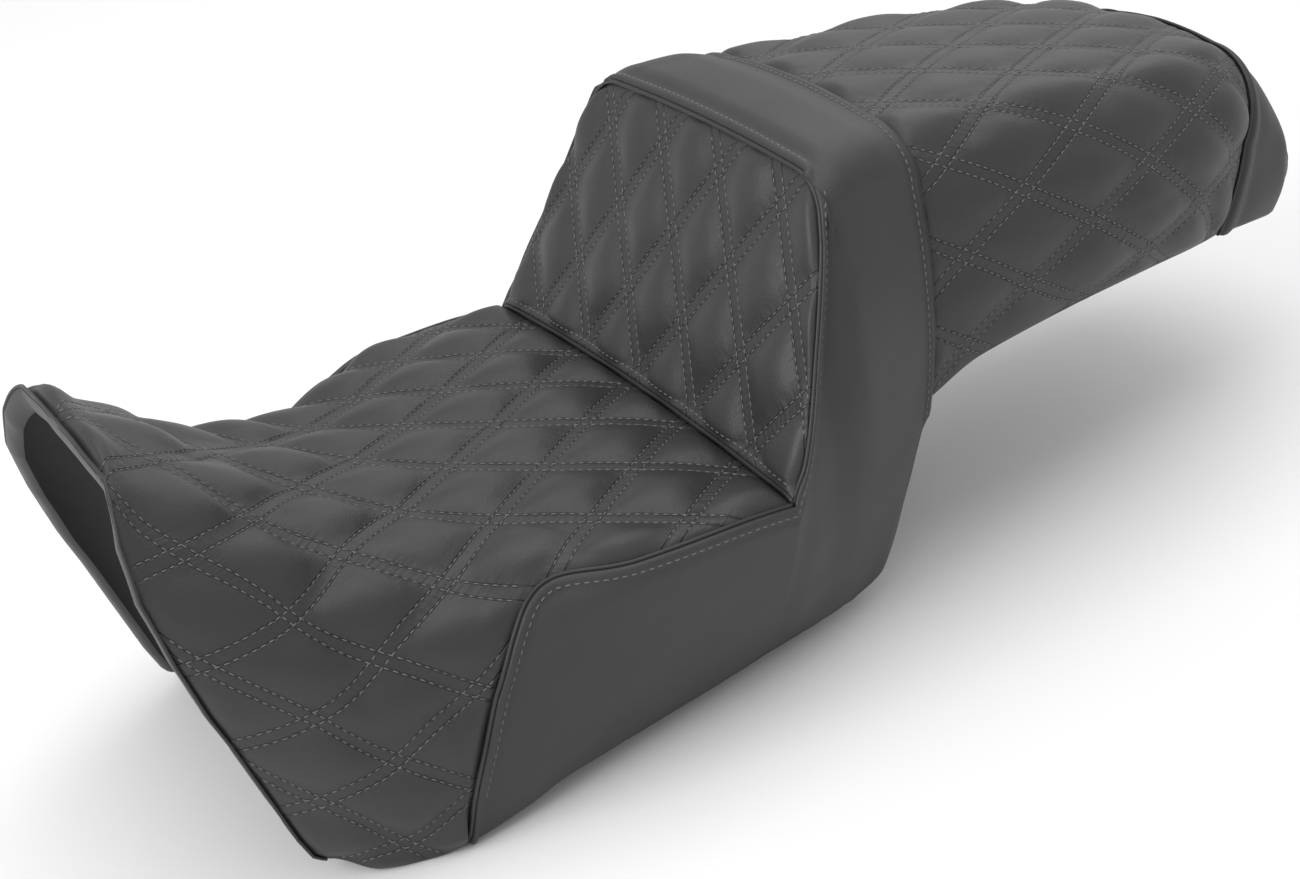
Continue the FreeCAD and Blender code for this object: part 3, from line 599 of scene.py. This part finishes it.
def side_height(t, r, inner, top, p):
    """Folds and needle lines of the smooth panel from its distance to each seam."""
    arc = arc_at(t)[:, None] + 0.0 * r
    corner = arc_at(AT_TOP)
    slope = np.gradient(inner, arc_at(t))[:, None]
    beside = (np.abs(r) - inner[:, None]) / np.sqrt(1.0 + slope**2)
    past = np.hypot(np.maximum(arc - corner, 0.0), np.maximum(np.abs(r) - top, 0.0))
    d = np.where(t[:, None] < AT_TOP, beside, past)
    rear = arc_at(AT_BAND) - arc
    h = fold(d) + groove(d, FOLD_STITCH) + fold(rear) + groove(rear, FOLD_STITCH)
    return h + 0.35 * wobble(p, 75.0, 0.7) * smooth(8.0, 30.0, np.minimum(d, rear))


def side_grids(step):
    """The smooth cover: a grid down each side and one over the band between them."""
    start, corner, stop = arc_at(SEAM_START), arc_at(AT_TOP), arc_at(AT_BAND)
    first = start + spread(corner - start, step)
    second = corner + spread(stop - corner, step)
    t = place_at(np.concatenate([first, second[1:]]))
    top = edge_at(AT_TOP)
    inner = np.where(t < AT_TOP, panel_edge(np.clip(t, SEAM_START, AT_TOP)), top)
    outer = to_base(t) + HEM
    q = spread(230.0, step)
    q = q / q[-1]
    r = inner[:, None] + (outer - inner)[:, None] * q[None]
    left = eased(surface(t, r), t, np.abs(r) - inner[:, None])
    left = left + facing(left) * side_height(t, r, inner, top, left)[..., None]
    right = left[:, ::-1] * MIRROR
    keep("side", t, q, inner, outer, left)
    tb = place_at(second)
    width = spread(2.0 * top, step * 1.3, step)
    rb = np.repeat((width - top)[None], len(tb), 0)
    wide = surface(tb, rb)
    wide = wide + facing(wide) * side_height(tb, rb, np.full(len(tb), top), top, wide)[..., None]
    wide[:, 0] = right[len(first) - 1:, -1]
    wide[:, -1] = left[len(first) - 1:, 0]
    keep("band", tb, (width - top) / top, np.zeros(len(tb)), np.full(len(tb), top), wide)
    return [left, right, wide]


def rear_grid(step, height):
    """The passenger panel from the band to the tail seam, with its hem."""
    start, stop = arc_at(AT_BAND), arc_at(AT_TAIL)
    t = place_at(start + spread(stop - start, step))
    t[-1] = AT_TAIL
    base = to_base(t)
    edge = base + HEM
    width = spread(2.0 * edge.max(), step)
    q = width / width[-1] * 2.0 - 1.0
    r = q[None] * edge[:, None]
    p = surface(t, r)
    n = facing(p)
    arc = arc_at(t)[:, None] + 0.0 * r
    side = base[:, None] - np.abs(r)
    lattice = rear_lattice(t, r)
    ends_border = np.minimum(arc - start, 0.5 * (stop - arc))
    border = np.minimum(1.6 * ends_border, np.maximum(side, 0.0))
    h = quilt(lattice, border, height * 0.7, p)
    above = smooth(0.0, 8.0, np.abs(side)) * (side > 0.0)
    ends_dip = -2.0 * (1.0 - smooth(0.0, 5.0, np.minimum(arc - start, stop - arc)))
    h = h * above + ends_dip * (1.0 - above)
    p = p + n * h[..., None]
    keep("rear", t, q, edge * 0.0, edge, p)
    return p, lattice


def roll(outer, inner, push, steps):
    """A rounded edge: half ellipses from outer points to inner points, pushed outwards."""
    angle = np.linspace(0.0, math.pi, steps)[:, None, None]
    middle = (outer + inner) / 2.0
    half = (outer - inner) / 2.0
    return middle[None] + half[None] * np.cos(angle) + push[None] * np.sin(angle)


def tail_grid(step):
    """The tail panel with its hem, then a rounded end down to the channel."""
    start, stop = arc_at(AT_TAIL), arc_at(AT_END)
    t = place_at(start + spread(stop - start, step))
    t[0], t[-1] = AT_TAIL + 0.0001, AT_END
    edge = to_base(t) + HEM
    width = spread(2.0 * edge.mean(), step, 2.0)
    q = width / width[-1] * 2.0 - 1.0
    r = q[None] * edge[:, None]
    p = surface(t, r)
    n = facing(p)
    d = arc_at(t)[:, None] - start + 0.0 * r
    p = p + n * (fold(d) + groove(d, FOLD_STITCH) + 0.4 * wobble(p, 60.0, 2.2))[..., None]
    keep("tail", t, q, edge * 0.0, edge, p)
    last = p[-1]
    half, foot, crown = 58.0, last[0, 2], passenger_base + 18.0
    x = last[:, 0] * (half / np.abs(last[:, 0]).max())
    z = foot + (crown - foot) * np.sqrt(np.maximum(0.0, 1.0 - (x / half) ** 2))
    inner = np.stack([x, last[:, 1] - 4.0, np.minimum(z, last[:, 2] - 1.0)], 1)
    near_end = np.minimum(np.arange(len(x)), np.arange(len(x))[::-1])
    push = np.array([0.0, 8.0, 0.0]) * smooth(0.0, 14.0, near_end)[:, None]
    return np.concatenate([p, roll(last, inner, push, 14)[1:]])


def rim_grid():
    """The padded rim inside the front edge and the arch's lining, as two grids. The rim is a
    profile that leans forwards at first and backwards at last, carried round the edge at right
    angles to it. The lining runs from its inner edge to a half ellipse and straight on."""
    count = 260
    outer = pushed_front(across(0.0, base_at(0.0), count), np.zeros(count))
    run = np.gradient(outer, axis=0)
    inward = unit(np.stack([-run[:, 2], np.zeros(count), run[:, 0]], 1))
    inward *= -np.sign(inward[count // 2, 2])
    s = np.linspace(0.0, RIM_WIDTH + 1.0, 24)
    angle = np.radians(np.interp(s, *RIM_LEAN))
    step = np.diff(s, prepend=0.0)
    into = np.cumsum(np.cos(angle) * step)[:, None, None]
    behind = np.cumsum(np.sin(angle) * step)[:, None, None]
    body = outer[None] + inward[None] * into + np.array([0.0, 1.0, 0.0]) * behind
    ripple = 0.3 * wobble(body, 38.0, 0.4) * np.sin(math.pi * s / s[-1])[:, None]
    body = body + facing(body) * ripple[..., None]
    turn = np.linspace(0.0, math.pi, 2000)
    ex, ez = -LINING_HALF * np.cos(turn), (nose_height - LINING_DROP) * np.sin(turn)
    ex, ez = ex[ez > outer[0, 2]], ez[ez > outer[0, 2]]
    gone = np.concatenate([[0.0], np.cumsum(np.hypot(np.diff(ex), np.diff(ez)))])
    share = np.linspace(0.0, gone[-1], count)
    deep = np.stack([np.sign(outer[-1, 0]) * np.interp(share, gone, ex),
                     np.full(count, nose_y + LINING_DEPTH), np.interp(share, gone, ez)], 1)
    v = np.linspace(0.0, 1.0, 22)[:, None, None]
    ease = np.concatenate([v ** 1.7, 1.0 - (1.0 - v) ** 1.5, v ** 1.7], 2)
    lining = body[-1] + (deep - body[-1]) * ease
    beyond = np.linspace(3.0, 30.0, 10)[:, None, None]
    tail = deep + np.array([0.0, 1.0, 0.0]) * beyond
    tail[..., 2] *= 1.0 - 0.0045 * beyond[..., 0]
    return body, np.concatenate([lining, tail])


# ---- stitches
def stitch_mesh(name, centres, directions, normals, length=3.8, width=1.05, height=0.9):
    """Short rounded threads: six-sided rings, thin at both ends, one copy per place."""
    angle = np.arange(6) * math.pi / 3.0
    ring = np.stack([0.0 * angle, np.cos(angle) * width / 2.0, np.sin(angle) * height / 2.0], 1)
    far, sunk = length * 0.38, -0.35
    rings = [ring * size + np.array([x, 0.0, lift])
             for x, size, lift in ((-far, 0.75, 0.0), (0.0, 1.0, 0.12), (far, 0.75, 0.0))]
    template = np.concatenate([[[-length / 2.0, 0.0, sunk]], *rings, [[length / 2.0, 0.0, sunk]]])
    faces = []
    for k in range(6):
        j = (k + 1) % 6
        faces.append((0, 1 + j, 1 + k, 1 + k))
        for ringed in (0, 6):
            faces.append((1 + k + ringed, 1 + j + ringed, 7 + j + ringed, 7 + k + ringed))
        faces.append((13 + k, 13 + j, 19, 19))
    frames = np.stack([directions, unit(np.cross(normals, directions)), normals], 1)
    points = centres[:, None] + np.einsum("kc,scx->skx", template, frames)
    starts = (np.arange(len(centres)) * len(template))[:, None, None]
    triangles = starts + np.array([f[:3] for f in faces if f[2] == f[3]])
    quads = starts + np.array([f for f in faces if f[2] != f[3]])
    mesh = bpy.data.meshes.new(name)
    mesh.from_pydata((points.reshape(-1, 3) * 0.001).tolist(), [],
                     triangles.reshape(-1, 3).tolist() + quads.reshape(-1, 4).tolist())
    mesh.polygons.foreach_set("use_smooth", np.ones(len(mesh.polygons), bool))
    mesh.update()
    return new_object(name, mesh)


def along_path(points, normals, pitch=STITCH_PITCH):
    """Even places along a path of points, with directions and normals."""
    gone = np.concatenate([[0.0], np.cumsum(np.linalg.norm(np.diff(points, axis=0), axis=1))])
    if gone[-1] < pitch:
        return None
    count = int(gone[-1] / pitch)
    s = (np.arange(count) + 0.5) * pitch + (gone[-1] - count * pitch) / 2.0

    def read(at, values):
        return np.stack([np.interp(at, gone, values[:, k]) for k in range(3)], 1)

    up = unit(read(s, normals))
    ahead = read(s + 1.0, points) - read(s - 1.0, points)
    ahead -= up * (ahead * up).sum(1, keepdims=True)
    return read(s, points), unit(ahead), up


def gather(rows):
    """One set of places from several, without the empty ones."""
    rows = [row for row in rows if row is not None]
    return [np.concatenate([row[k] for row in rows]) for k in range(3)]


def quilt_rows(panel, lattice_of, margin, clear):
    """Both rows of stitches of every quilt line on a panel, cut off at a margin from its side
    edges and at a clear length from its first end. A row is found where the panel's quilt
    coordinate crosses its value between two points of the grid."""
    t, q, _, high, points, normals = PANELS[panel]
    r = q[None] * high[:, None]
    arcs = arc_at(t)
    lattice = lattice_of(t, r)
    out = []
    for family, line, sign, half in (
            (family, line, sign, half) for family in (0, 1)
            for line in range(math.ceil(lattice[..., family].min()),
                              math.floor(lattice[..., family].max()) + 1)
            for sign in (-1.0, 1.0) for half in (-1.0, 1.0)):
        level = lattice[..., family] - (line + sign * LINE_GAP / LINE_STEP)
        crossing = level[:, :-1] * level[:, 1:] <= 0.0
        i, j = np.nonzero(crossing & (q[None, :-1] * half >= 0.0))
        if len(i) < 6:
            continue
        f = (level[i, j] / (level[i, j] - level[i, j + 1] + 1e-12))[:, None]
        place = points[i, j] * (1 - f) + points[i, j + 1] * f
        up = normals[i, j] * (1 - f) + normals[i, j + 1] * f
        rr = r[i, j] * (1 - f[:, 0]) + r[i, j + 1] * f[:, 0]
        edge = high[i] - np.abs(rr) - margin(t[i])
        ok = (edge > 3.0) & (arcs[i] > arcs[0] + clear) & (arcs[i] < arcs[-1] - 5.0)
        place, up = place[ok], up[ok]
        if len(place) < 4:
            continue
        cuts = np.nonzero(np.linalg.norm(np.diff(place, axis=0), axis=1) > 14.0)[0] + 1
        for piece, above in zip(np.split(place, cuts), np.split(up, cuts)):
            if len(piece) > 3:
                out.append(along_path(piece, above))
    return gather(out)


# ---- materials
def new_material(name, roughness):
    """A material, its node tree and its shader."""
    material = bpy.data.materials.new(name)
    material.use_nodes = True
    shader = material.node_tree.nodes["Principled BSDF"]
    shader.inputs["Roughness"].default_value = roughness
    return material, material.node_tree, shader


def wire(tree, socket, value):
    """Sets an input to a value or links it to another node's output."""
    if isinstance(value, bpy.types.NodeSocket):
        tree.links.new(value, socket)
    else:
        socket.default_value = value


def add_node(tree, kind, settings=None, **inputs):
    """A node with its settings and then its inputs, where From_Min stands for From Min."""
    node = tree.nodes.new("ShaderNode" + kind)
    for key, value in (settings or {}).items():
        setattr(node, key, value)
    for key, value in inputs.items():
        wire(tree, node.inputs[key.replace("_", " ")], value)
    return node


def calc(tree, operation, *values):
    """The result of an operation on numbers and other nodes' outputs."""
    node = add_node(tree, "Math", {"operation": operation})
    for socket, value in zip(node.inputs, values):
        wire(tree, socket, value)
    return node.outputs[0]


def fading(tree, value, start, stop):
    """1 up to start and 0 from stop on, with an S curve between them."""
    return add_node(tree, "MapRange", {"interpolation_type": "SMOOTHSTEP"}, Value=value,
                    From_Min=start, From_Max=stop, To_Min=1.0, To_Max=0.0).outputs["Result"]


def toned(tree, value, dark, bright, stops=(0.0, 1.0)):
    """A colour that goes from dark to bright between two stops of a value."""
    ramp = add_node(tree, "ValToRGB", Fac=value)
    for element, stop, colour in zip(ramp.color_ramp.elements, stops, (dark, bright)):
        element.position = stop
        element.color = tuple(colour) + (1.0,)
    return ramp.outputs["Color"]


def relief(tree, height, strength, distance, invert=False, **under):
    """A bump from a height in metres, laid over another bump where one is given."""
    return add_node(tree, "Bump", {"invert": invert}, Height=height, Strength=strength,
                    Distance=distance, **under).outputs["Normal"]


def leather(name, tone, roughness, quilted, grain=1.0):
    """Black grained vinyl: fine cells and noise as relief, a slow change of tone, and on quilted
    panels the needle lines (darkened in the colour as painted shade) and small gathers beside them
    from the UV map."""
    material, tree, shader = new_material(name, roughness)
    shader.inputs["Specular IOR Level"].default_value = 0.42
    place = add_node(tree, "TexCoord").outputs["Object"]
    slow = add_node(tree, "TexNoise", Vector=place, Scale=9.0, Detail=3.0).outputs["Fac"]
    fine = add_node(tree, "TexNoise", Vector=place, Scale=900.0, Detail=2.0).outputs["Fac"]
    cells = add_node(tree, "TexVoronoi", Vector=place, Scale=750.0).outputs["Distance"]
    mixed = calc(tree, "ADD", calc(tree, "MULTIPLY", slow, 0.6), calc(tree, "MULTIPLY", fine, 0.4))
    colour = toned(tree, mixed, (tone * 0.8, tone * 0.8, tone * 0.81),
                   (tone * 1.18, tone * 1.18, tone * 1.2), (0.3, 0.7))
    normal = relief(tree, cells, 0.25 * grain, 0.0004)
    if quilted:
        uv = add_node(tree, "UVMap", {"uv_map": "UVMap"}).outputs["UV"]
        parts = add_node(tree, "SeparateXYZ", Vector=uv).outputs
        lines, gathers = [], []
        for mine, other in ((0, 1), (1, 0)):
            away = calc(tree, "MULTIPLY", calc(tree, "PINGPONG", parts[mine], 0.5), LINE_STEP)
            off = calc(tree, "ABSOLUTE", calc(tree, "SUBTRACT", away, LINE_GAP))
            lines.append(fading(tree, off, 0.15, 1.0))
            run = add_node(tree, "TexNoise", {"noise_dimensions": "1D"}, W=parts[other],
                           Scale=16.0, Detail=2.0).outputs["Fac"]
            gathers.append(calc(tree, "MULTIPLY", run, fading(tree, away, 3.5, 11.0)))
        sunk = calc(tree, "MAXIMUM", *lines)
        normal = relief(tree, sunk, 0.8, 0.0008, True, Normal=normal)
        normal = relief(tree, calc(tree, "ADD", *gathers), 0.5, 0.0012, Normal=normal)
        # Painted shade: the needle lines' grooves are darkened in the base colour towards 45% of
        # the tone.
        colour = add_node(tree, "Mix", {"data_type": "RGBA"}, A=colour,
                          B=(tone * 0.45, tone * 0.45, tone * 0.46, 1.0),
                          Factor=calc(tree, "MULTIPLY", sunk, 0.6)).outputs["Result"]
    wire(tree, shader.inputs["Base Color"], colour)
    wire(tree, shader.inputs["Normal"], normal)
    return material


def plain(name, colour, roughness, metallic=0.0, noise_scale=60.0, change=0.12, bump=0.0):
    """A material whose tone and relief come from one noise over the object's coordinates."""
    material, tree, shader = new_material(name, roughness)
    shader.inputs["Metallic"].default_value = metallic
    place = add_node(tree, "TexCoord").outputs["Object"]
    noise = add_node(tree, "TexNoise", Vector=place, Scale=noise_scale, Detail=4.0).outputs["Fac"]
    wire(tree, shader.inputs["Base Color"],
         toned(tree, noise, [c * (1.0 - change) for c in colour],
               [min(1.0, c * (1.0 + change)) for c in colour]))
    if bump > 0.0:
        wire(tree, shader.inputs["Normal"], relief(tree, noise, 0.4, bump))
    return material


# How each slot's material is made, with its maker's arguments after its name.
RECIPES = {
    "quilted_cover": (leather, "quilted_vinyl", 0.030, 0.44, True),
    "smooth_cover": (leather, "smooth_vinyl", 0.029, 0.47, False),
    "piping": (leather, "seam_vinyl", 0.027, 0.42, False, 0.5),
    # The arch's lining is near-black, darker than the black pan: a dark lining with painted shade
    # for the shadow deep inside the arch.
    "lining": (plain, "arch_lining", (0.008, 0.008, 0.008), 0.8, 0.0, 300.0, 0.2, 0.0003),
    # The thread is dark like the cover, but its colour is lifted about four times above the cover's
    # tone: painted highlight along the stitches.
    "thread": (plain, "sewing_thread", (0.125, 0.125, 0.127), 0.45, 0.0, 1500.0),
    # The foam is given dark grey rather than its own cream, so that where it shows through the
    # seams it passes for their shade: painted shade.
    "foam": (plain, "seat_foam", (0.05, 0.048, 0.044), 0.95, 0.0, 400.0, 0.1, 0.0008),
    "gel": (plain, "gel_film", (0.12, 0.34, 0.42), 0.3, 0.0, 20.0),
    "pan": (plain, "moulded_pan", (0.016, 0.016, 0.017), 0.62, 0.0, 300.0, 0.2, 0.0003),
    "steel_plate": (plain, "powder_coat", (0.022, 0.022, 0.023), 0.45, 0.0, 600.0, 0.1, 0.0001),
    "fixings": (plain, "zinc_plate", (0.56, 0.56, 0.55), 0.34, 1.0, 90.0),
    "bumper_rubber": (plain, "moulded_rubber", (0.02, 0.02, 0.02), 0.8, 0.0, 200.0, 0.2, 0.0002),
    "staple_wire": (plain, "bright_wire", (0.6, 0.6, 0.6), 0.3, 1.0, 300.0),
}
MATERIALS = {}


def material_for(key):
    """The material of a slot, made the first time that it is asked for."""
    if key not in MATERIALS:
        maker, *arguments = RECIPES[key]
        MATERIALS[key] = maker(*arguments)
    return MATERIALS[key]


def quilted_piece(context, grid, name, node):
    """One quilted cover from its grid function, with the quilted cover's material, in place of its
    CAD node.
    """
    look = context.scene.seat_look
    points, lattice = grid(look.grid, look.puff)
    obj = grid_mesh(name, [points], [lattice])
    dress(obj, "quilted_cover", (node,))
    return {"FINISHED"}


# ---- operators
class SeatSettings(bpy.types.PropertyGroup):
    """Sizes that change the look of the covers."""

    grid: FloatProperty(name="Grid", description="Distance between the points of a cover",
                        default=2.3, min=1.0, max=12.0)
    puff: FloatProperty(name="Puff", description="Height of the padding between quilt lines, mm",
                        default=6.5, min=0.0, max=9.0)
    bead: FloatProperty(name="Bead", description="Radius of the seam beads, mm",
                        default=1.5, min=0.5, max=2.5)
    light: FloatProperty(name="Light", description="Strength of the soft light", default=1.0,
                         min=0.1, max=4.0)


class SEAT_OT_rider(bpy.types.Operator):
    """Quilted cover of the rider part"""

    bl_idname = "seat.rider_cover"
    bl_label = "Rider cover"

    def execute(self, context):
        return quilted_piece(context, rider_grid, "rider_quilted_cover", "rider_cover")


class SEAT_OT_back(bpy.types.Operator):
    """Quilted face of the backrest"""

    bl_idname = "seat.backrest_cover"
    bl_label = "Backrest cover"

    def execute(self, context):
        return quilted_piece(context, back_grid, "backrest_quilted_cover", "backrest_cover")


class SEAT_OT_side(bpy.types.Operator):
    """Smooth side panels and the band over the backrest"""

    bl_idname = "seat.side_cover"
    bl_label = "Side and band cover"

    def execute(self, context):
        obj = grid_mesh("smooth_side_cover", side_grids(context.scene.seat_look.grid), None, 0.02)
        dress(obj, "smooth_cover", ("side_and_band_cover",))
        return {"FINISHED"}


class SEAT_OT_rear(bpy.types.Operator):
    """Quilted cover of the passenger part"""

    bl_idname = "seat.passenger_cover"
    bl_label = "Passenger cover"

    def execute(self, context):
        return quilted_piece(context, rear_grid, "passenger_quilted_cover", "passenger_cover")


class SEAT_OT_ends(bpy.types.Operator):
    """Smooth tail and the padded rim of the front arch"""

    bl_idname = "seat.ends"
    bl_label = "Tail and front rim"

    def execute(self, context):
        tail = grid_mesh("smooth_tail_cover", [tail_grid(context.scene.seat_look.grid)])
        dress(tail, "smooth_cover", ("tail_cover",))
        strip, lining = rim_grid()
        dress(grid_mesh("front_rim_roll", [strip]), "smooth_cover", ("nose_rim",))
        # The lining takes the near-black lining material: painted shade inside the arch.
        dress(grid_mesh("front_arch_lining", [lining]), "pan", (), "lining")
        return {"FINISHED"}


class SEAT_OT_seams(bpy.types.Operator):
    """Raised beads along the seams"""

    bl_idname = "seat.seams"
    bl_label = "Seam beads"

    def execute(self, context):
        radius = context.scene.seat_look.bead
        t = np.linspace(SEAM_START + 0.01, AT_SEAT, 160)
        left = surface(t, panel_edge(t)[:, None])[:, 0]
        t = np.linspace(AT_SEAT, AT_TOP, 120)
        up = surface(t, panel_edge(t)[:, None])[:, 0]
        over = across(AT_TOP, -edge_at(AT_TOP), 120)
        whole = np.concatenate([up[:-1], over, (up * MIRROR)[::-1][1:]])
        crease = across(AT_SEAT, edge_at(AT_SEAT), 200) + np.array([0.0, 0.8, 0.3])
        lip = pushed_front(across(0.0, base_at(0.0), 300), np.zeros(300))
        for name, path, size, nodes in (
                ("seat_seam_cord", crease, SEAT_CORD, ()),
                ("front_rim_cord", lip, RIM_CORD, ()),
                ("left_side_welt_bead", left, radius, ("left_side_welt",)),
                ("right_side_welt_bead", left * MIRROR, radius, ("right_side_welt",)),
                ("backrest_welt_bead", whole, radius, ("backrest_welt",)),
                ("band_rear_welt_bead", across(AT_BAND, base_at(AT_BAND), 240), radius,
                 ("band_rear_welt",)),
                ("tail_welt_bead", across(AT_TAIL, base_at(AT_TAIL), 240), radius * 0.85,
                 ("tail_welt",))):
            dress(grid_mesh(name, [tube(path, size)], None, 0.01), "piping", nodes)
        return {"FINISHED"}


class SEAT_OT_core(bpy.types.Operator):
    """Foam block and pan of the rider part, set back behind the rounded front rim"""

    bl_idname = "seat.core"
    bl_label = "Foam and pan"

    def execute(self, context):
        for node, name, slot in (("rider_foam", "rider_foam_block", "foam"),
                                 ("base_pan", "moulded_base_pan", "pan"),
                                 ("cover_staples", "cover_staple_wires", "staple_wire")):
            mesh = frame["nodes"][node].data.copy()
            co = np.empty(len(mesh.vertices) * 3)
            mesh.vertices.foreach_get("co", co)
            co = co.reshape(-1, 3)
            squeeze = CORE_SQUEEZE + (FOAM_EXTRA if node == "rider_foam" else 0.0)
            back = squeeze * np.maximum(0.0, (nose_y + CORE_REACH) * 0.001 - co[:, 1])
            co[:, 1] += back
            co[:, 2] -= back * smooth(0.06, 0.2, co[:, 2])
            co[:, 2] += 0.35 * back * (1.0 - smooth(0.01, 0.05, co[:, 2]))
            mesh.vertices.foreach_set("co", co.ravel())
            mesh.update()
            dress(new_object(name, mesh), slot, (node,))
        return {"FINISHED"}


class SEAT_OT_stitches(bpy.types.Operator):
    """Rows of stitches on the quilted panels and beside the seams"""

    bl_idname = "seat.stitches"
    bl_label = "Stitches"

    def execute(self, context):
        for panel, lattice, margin, clear in (
                ("rider", rider_lattice,
                 lambda t: (HEM + BASE_TURN) * (t < SEAM_START) + 2.0, 4.0),
                ("back", back_lattice, lambda t: 3.0, 9.0),
                ("rear", rear_lattice, lambda t: HEM + 2.0, 4.0)):
            obj = stitch_mesh(panel + "_quilt_stitches", *quilt_rows(panel, lattice, margin, clear))
            dress(obj, "quilted_cover", (), "thread")
        rows = []

        def sew(panel, t, r, twice=False):
            """A row of stitches on a panel, and its mirror image."""
            place, up = on_panel(panel, t, r)
            rows.append(along_path(place, up))
            if twice:
                rows.append(along_path(place * MIRROR, up * MIRROR))

        def beside(place, gap, count):
            """The place at a gap behind a seam, once for each point of a row."""
            return np.full(count, float(place_at(arc_at(place) + gap)))

        t = np.linspace(3.3, 11.9, 500)
        edge = panel_edge(t)
        slope = np.gradient(edge, arc_at(t))
        shift = FOLD_STITCH / np.sqrt(1.0 + slope**2)
        sew("side", place_at(arc_at(t) - shift * slope), edge + shift, True)
        top = edge_at(AT_TOP)
        for t in (beside(AT_TOP, FOLD_STITCH, 200), beside(AT_BAND, -FOLD_STITCH, 200)):
            sew("band", t, np.linspace(-top, top, 200))
        t = beside(AT_BAND, -FOLD_STITCH, 300)
        sew("side", t, np.linspace(top, base_at(t[0]) - 4.0, 300), True)
        t = beside(AT_TAIL, FOLD_STITCH, 400)
        reach = base_at(t[0]) - 4.0
        sew("tail", t, np.linspace(-reach, reach, 400))
        t = beside(AT_SEAT, FOLD_STITCH, 300)
        reach = edge_at(t[0]) - 4.0
        sew("back", t, np.linspace(-reach, reach, 300))
        dress(stitch_mesh("seam_stitches", *gather(rows)), "smooth_cover", (), "thread")
        return {"FINISHED"}


class SEAT_OT_frame(bpy.types.Operator):
    """Materials of the pan, foams, gel pads and hardware that stay as CAD pieces"""

    bl_idname = "seat.frame_materials"
    bl_label = "Frame materials"

    def execute(self, context):
        slots = {part["node"]: part["material_slot"] for part in frame["record"]["subparts"]}
        for node, obj in frame["nodes"].items():
            obj.data.materials.clear()
            obj.data.materials.append(material_for(slots[node]))
        return {"FINISHED"}


# Metres and watts; each lamp has a name, a place from the seat's middle, a width and a power.
FLOOR_HALF = 14.0
ROOM_LIGHT = 0.75
LAMPS = (("soft_top", (0.0, 0.3, 2.6), 2.4, 30.0), ("soft_front", (0.3, -2.7, 1.6), 1.8, 46.0),
         ("soft_back", (-1.6, 2.2, 1.9), 1.8, 10.0))
CAMERA_LENS = 60.06  # mm
CAMERA_TARGET, CAMERA_DISTANCE = (0.016, -0.0833, 0.1218), 1.444
CAMERA_RIGHT, CAMERA_BACK = (0.5314, 0.8367, -0.1325), (0.7601, -0.4019, 0.5107)


class SEAT_OT_stage(bpy.types.Operator):
    """Pale floor, soft light and the camera"""

    bl_idname = "seat.stage"
    bl_label = "Stage"

    def execute(self, context):
        look = context.scene.seat_look
        low, high = [np.array(c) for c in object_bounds()]
        mesh = bpy.data.meshes.new("floor")
        mesh.from_pydata([(x * FLOOR_HALF, y * FLOOR_HALF, low[2])
                          for x, y in ((-1, -1), (1, -1), (1, 1), (-1, 1))], [], [(0, 1, 2, 3)])
        floor = new_object("floor", mesh)
        floor.data.materials.append(plain("pale_floor", (0.86, 0.86, 0.86), 0.9, 0.0, 0.5, 0.01))
        floor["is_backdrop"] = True
        world = bpy.data.worlds.new("soft_room")
        world.use_nodes = True
        background = world.node_tree.nodes["Background"]
        background.inputs["Color"].default_value = (1.0, 1.0, 1.0, 1.0)
        background.inputs["Strength"].default_value = ROOM_LIGHT * look.light
        context.scene.world = world
        middle = Vector((low + high) / 2.0)
        for name, spot, width, power in LAMPS:
            lamp = bpy.data.lights.new(name, "AREA")
            lamp.shape = "SQUARE"
            lamp.size = width
            lamp.energy = power * look.light
            obj = new_object(name, lamp)
            obj.location = middle + Vector(spot)
            obj.rotation_euler = (-Vector(spot)).to_track_quat("-Z", "Y").to_euler()
        camera = bpy.data.cameras.new("camera")
        camera.sensor_width = 36.0
        camera.lens = CAMERA_LENS
        obj = new_object("camera", camera)
        back = Vector(CAMERA_BACK).normalized()
        right = Vector(CAMERA_RIGHT)
        right = (right - back * right.dot(back)).normalized()
        turn = Matrix((right, back.cross(right), back)).transposed().to_4x4()
        away = Vector(CAMERA_TARGET) + back * CAMERA_DISTANCE
        obj.matrix_world = Matrix.Translation(away) @ turn
        context.scene.camera = obj
        context.scene.view_settings.view_transform = "Standard"
        return {"FINISHED"}


class SEAT_PT_panel(bpy.types.Panel):
    """Settings and steps of the seat."""

    bl_idname = "SEAT_PT_panel"
    bl_label = "Two-up seat"
    bl_space_type = "VIEW_3D"
    bl_region_type = "UI"
    bl_category = "Seat"

    def draw(self, context):
        look = context.scene.seat_look
        for name in ("grid", "puff", "bead", "light"):
            self.layout.prop(look, name)
        for step in STEPS:
            self.layout.operator(step.bl_idname)


STEPS = (SEAT_OT_rider, SEAT_OT_back, SEAT_OT_side, SEAT_OT_rear, SEAT_OT_ends, SEAT_OT_seams,
         SEAT_OT_core, SEAT_OT_stitches, SEAT_OT_frame, SEAT_OT_stage)
CLASSES = (SeatSettings,) + STEPS + (SEAT_PT_panel,)


def register():
    for cls in CLASSES:
        bpy.utils.register_class(cls)
    bpy.types.Scene.seat_look = PointerProperty(type=SeatSettings)


def unregister():
    del bpy.types.Scene.seat_look
    for cls in reversed(CLASSES):
        bpy.utils.unregister_class(cls)


def main():
    """Registers the add-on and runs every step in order."""
    register()
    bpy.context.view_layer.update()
    for step in STEPS:
        getattr(bpy.ops.seat, step.bl_idname.split(".")[1])()


if __name__ == "__main__":
    main()
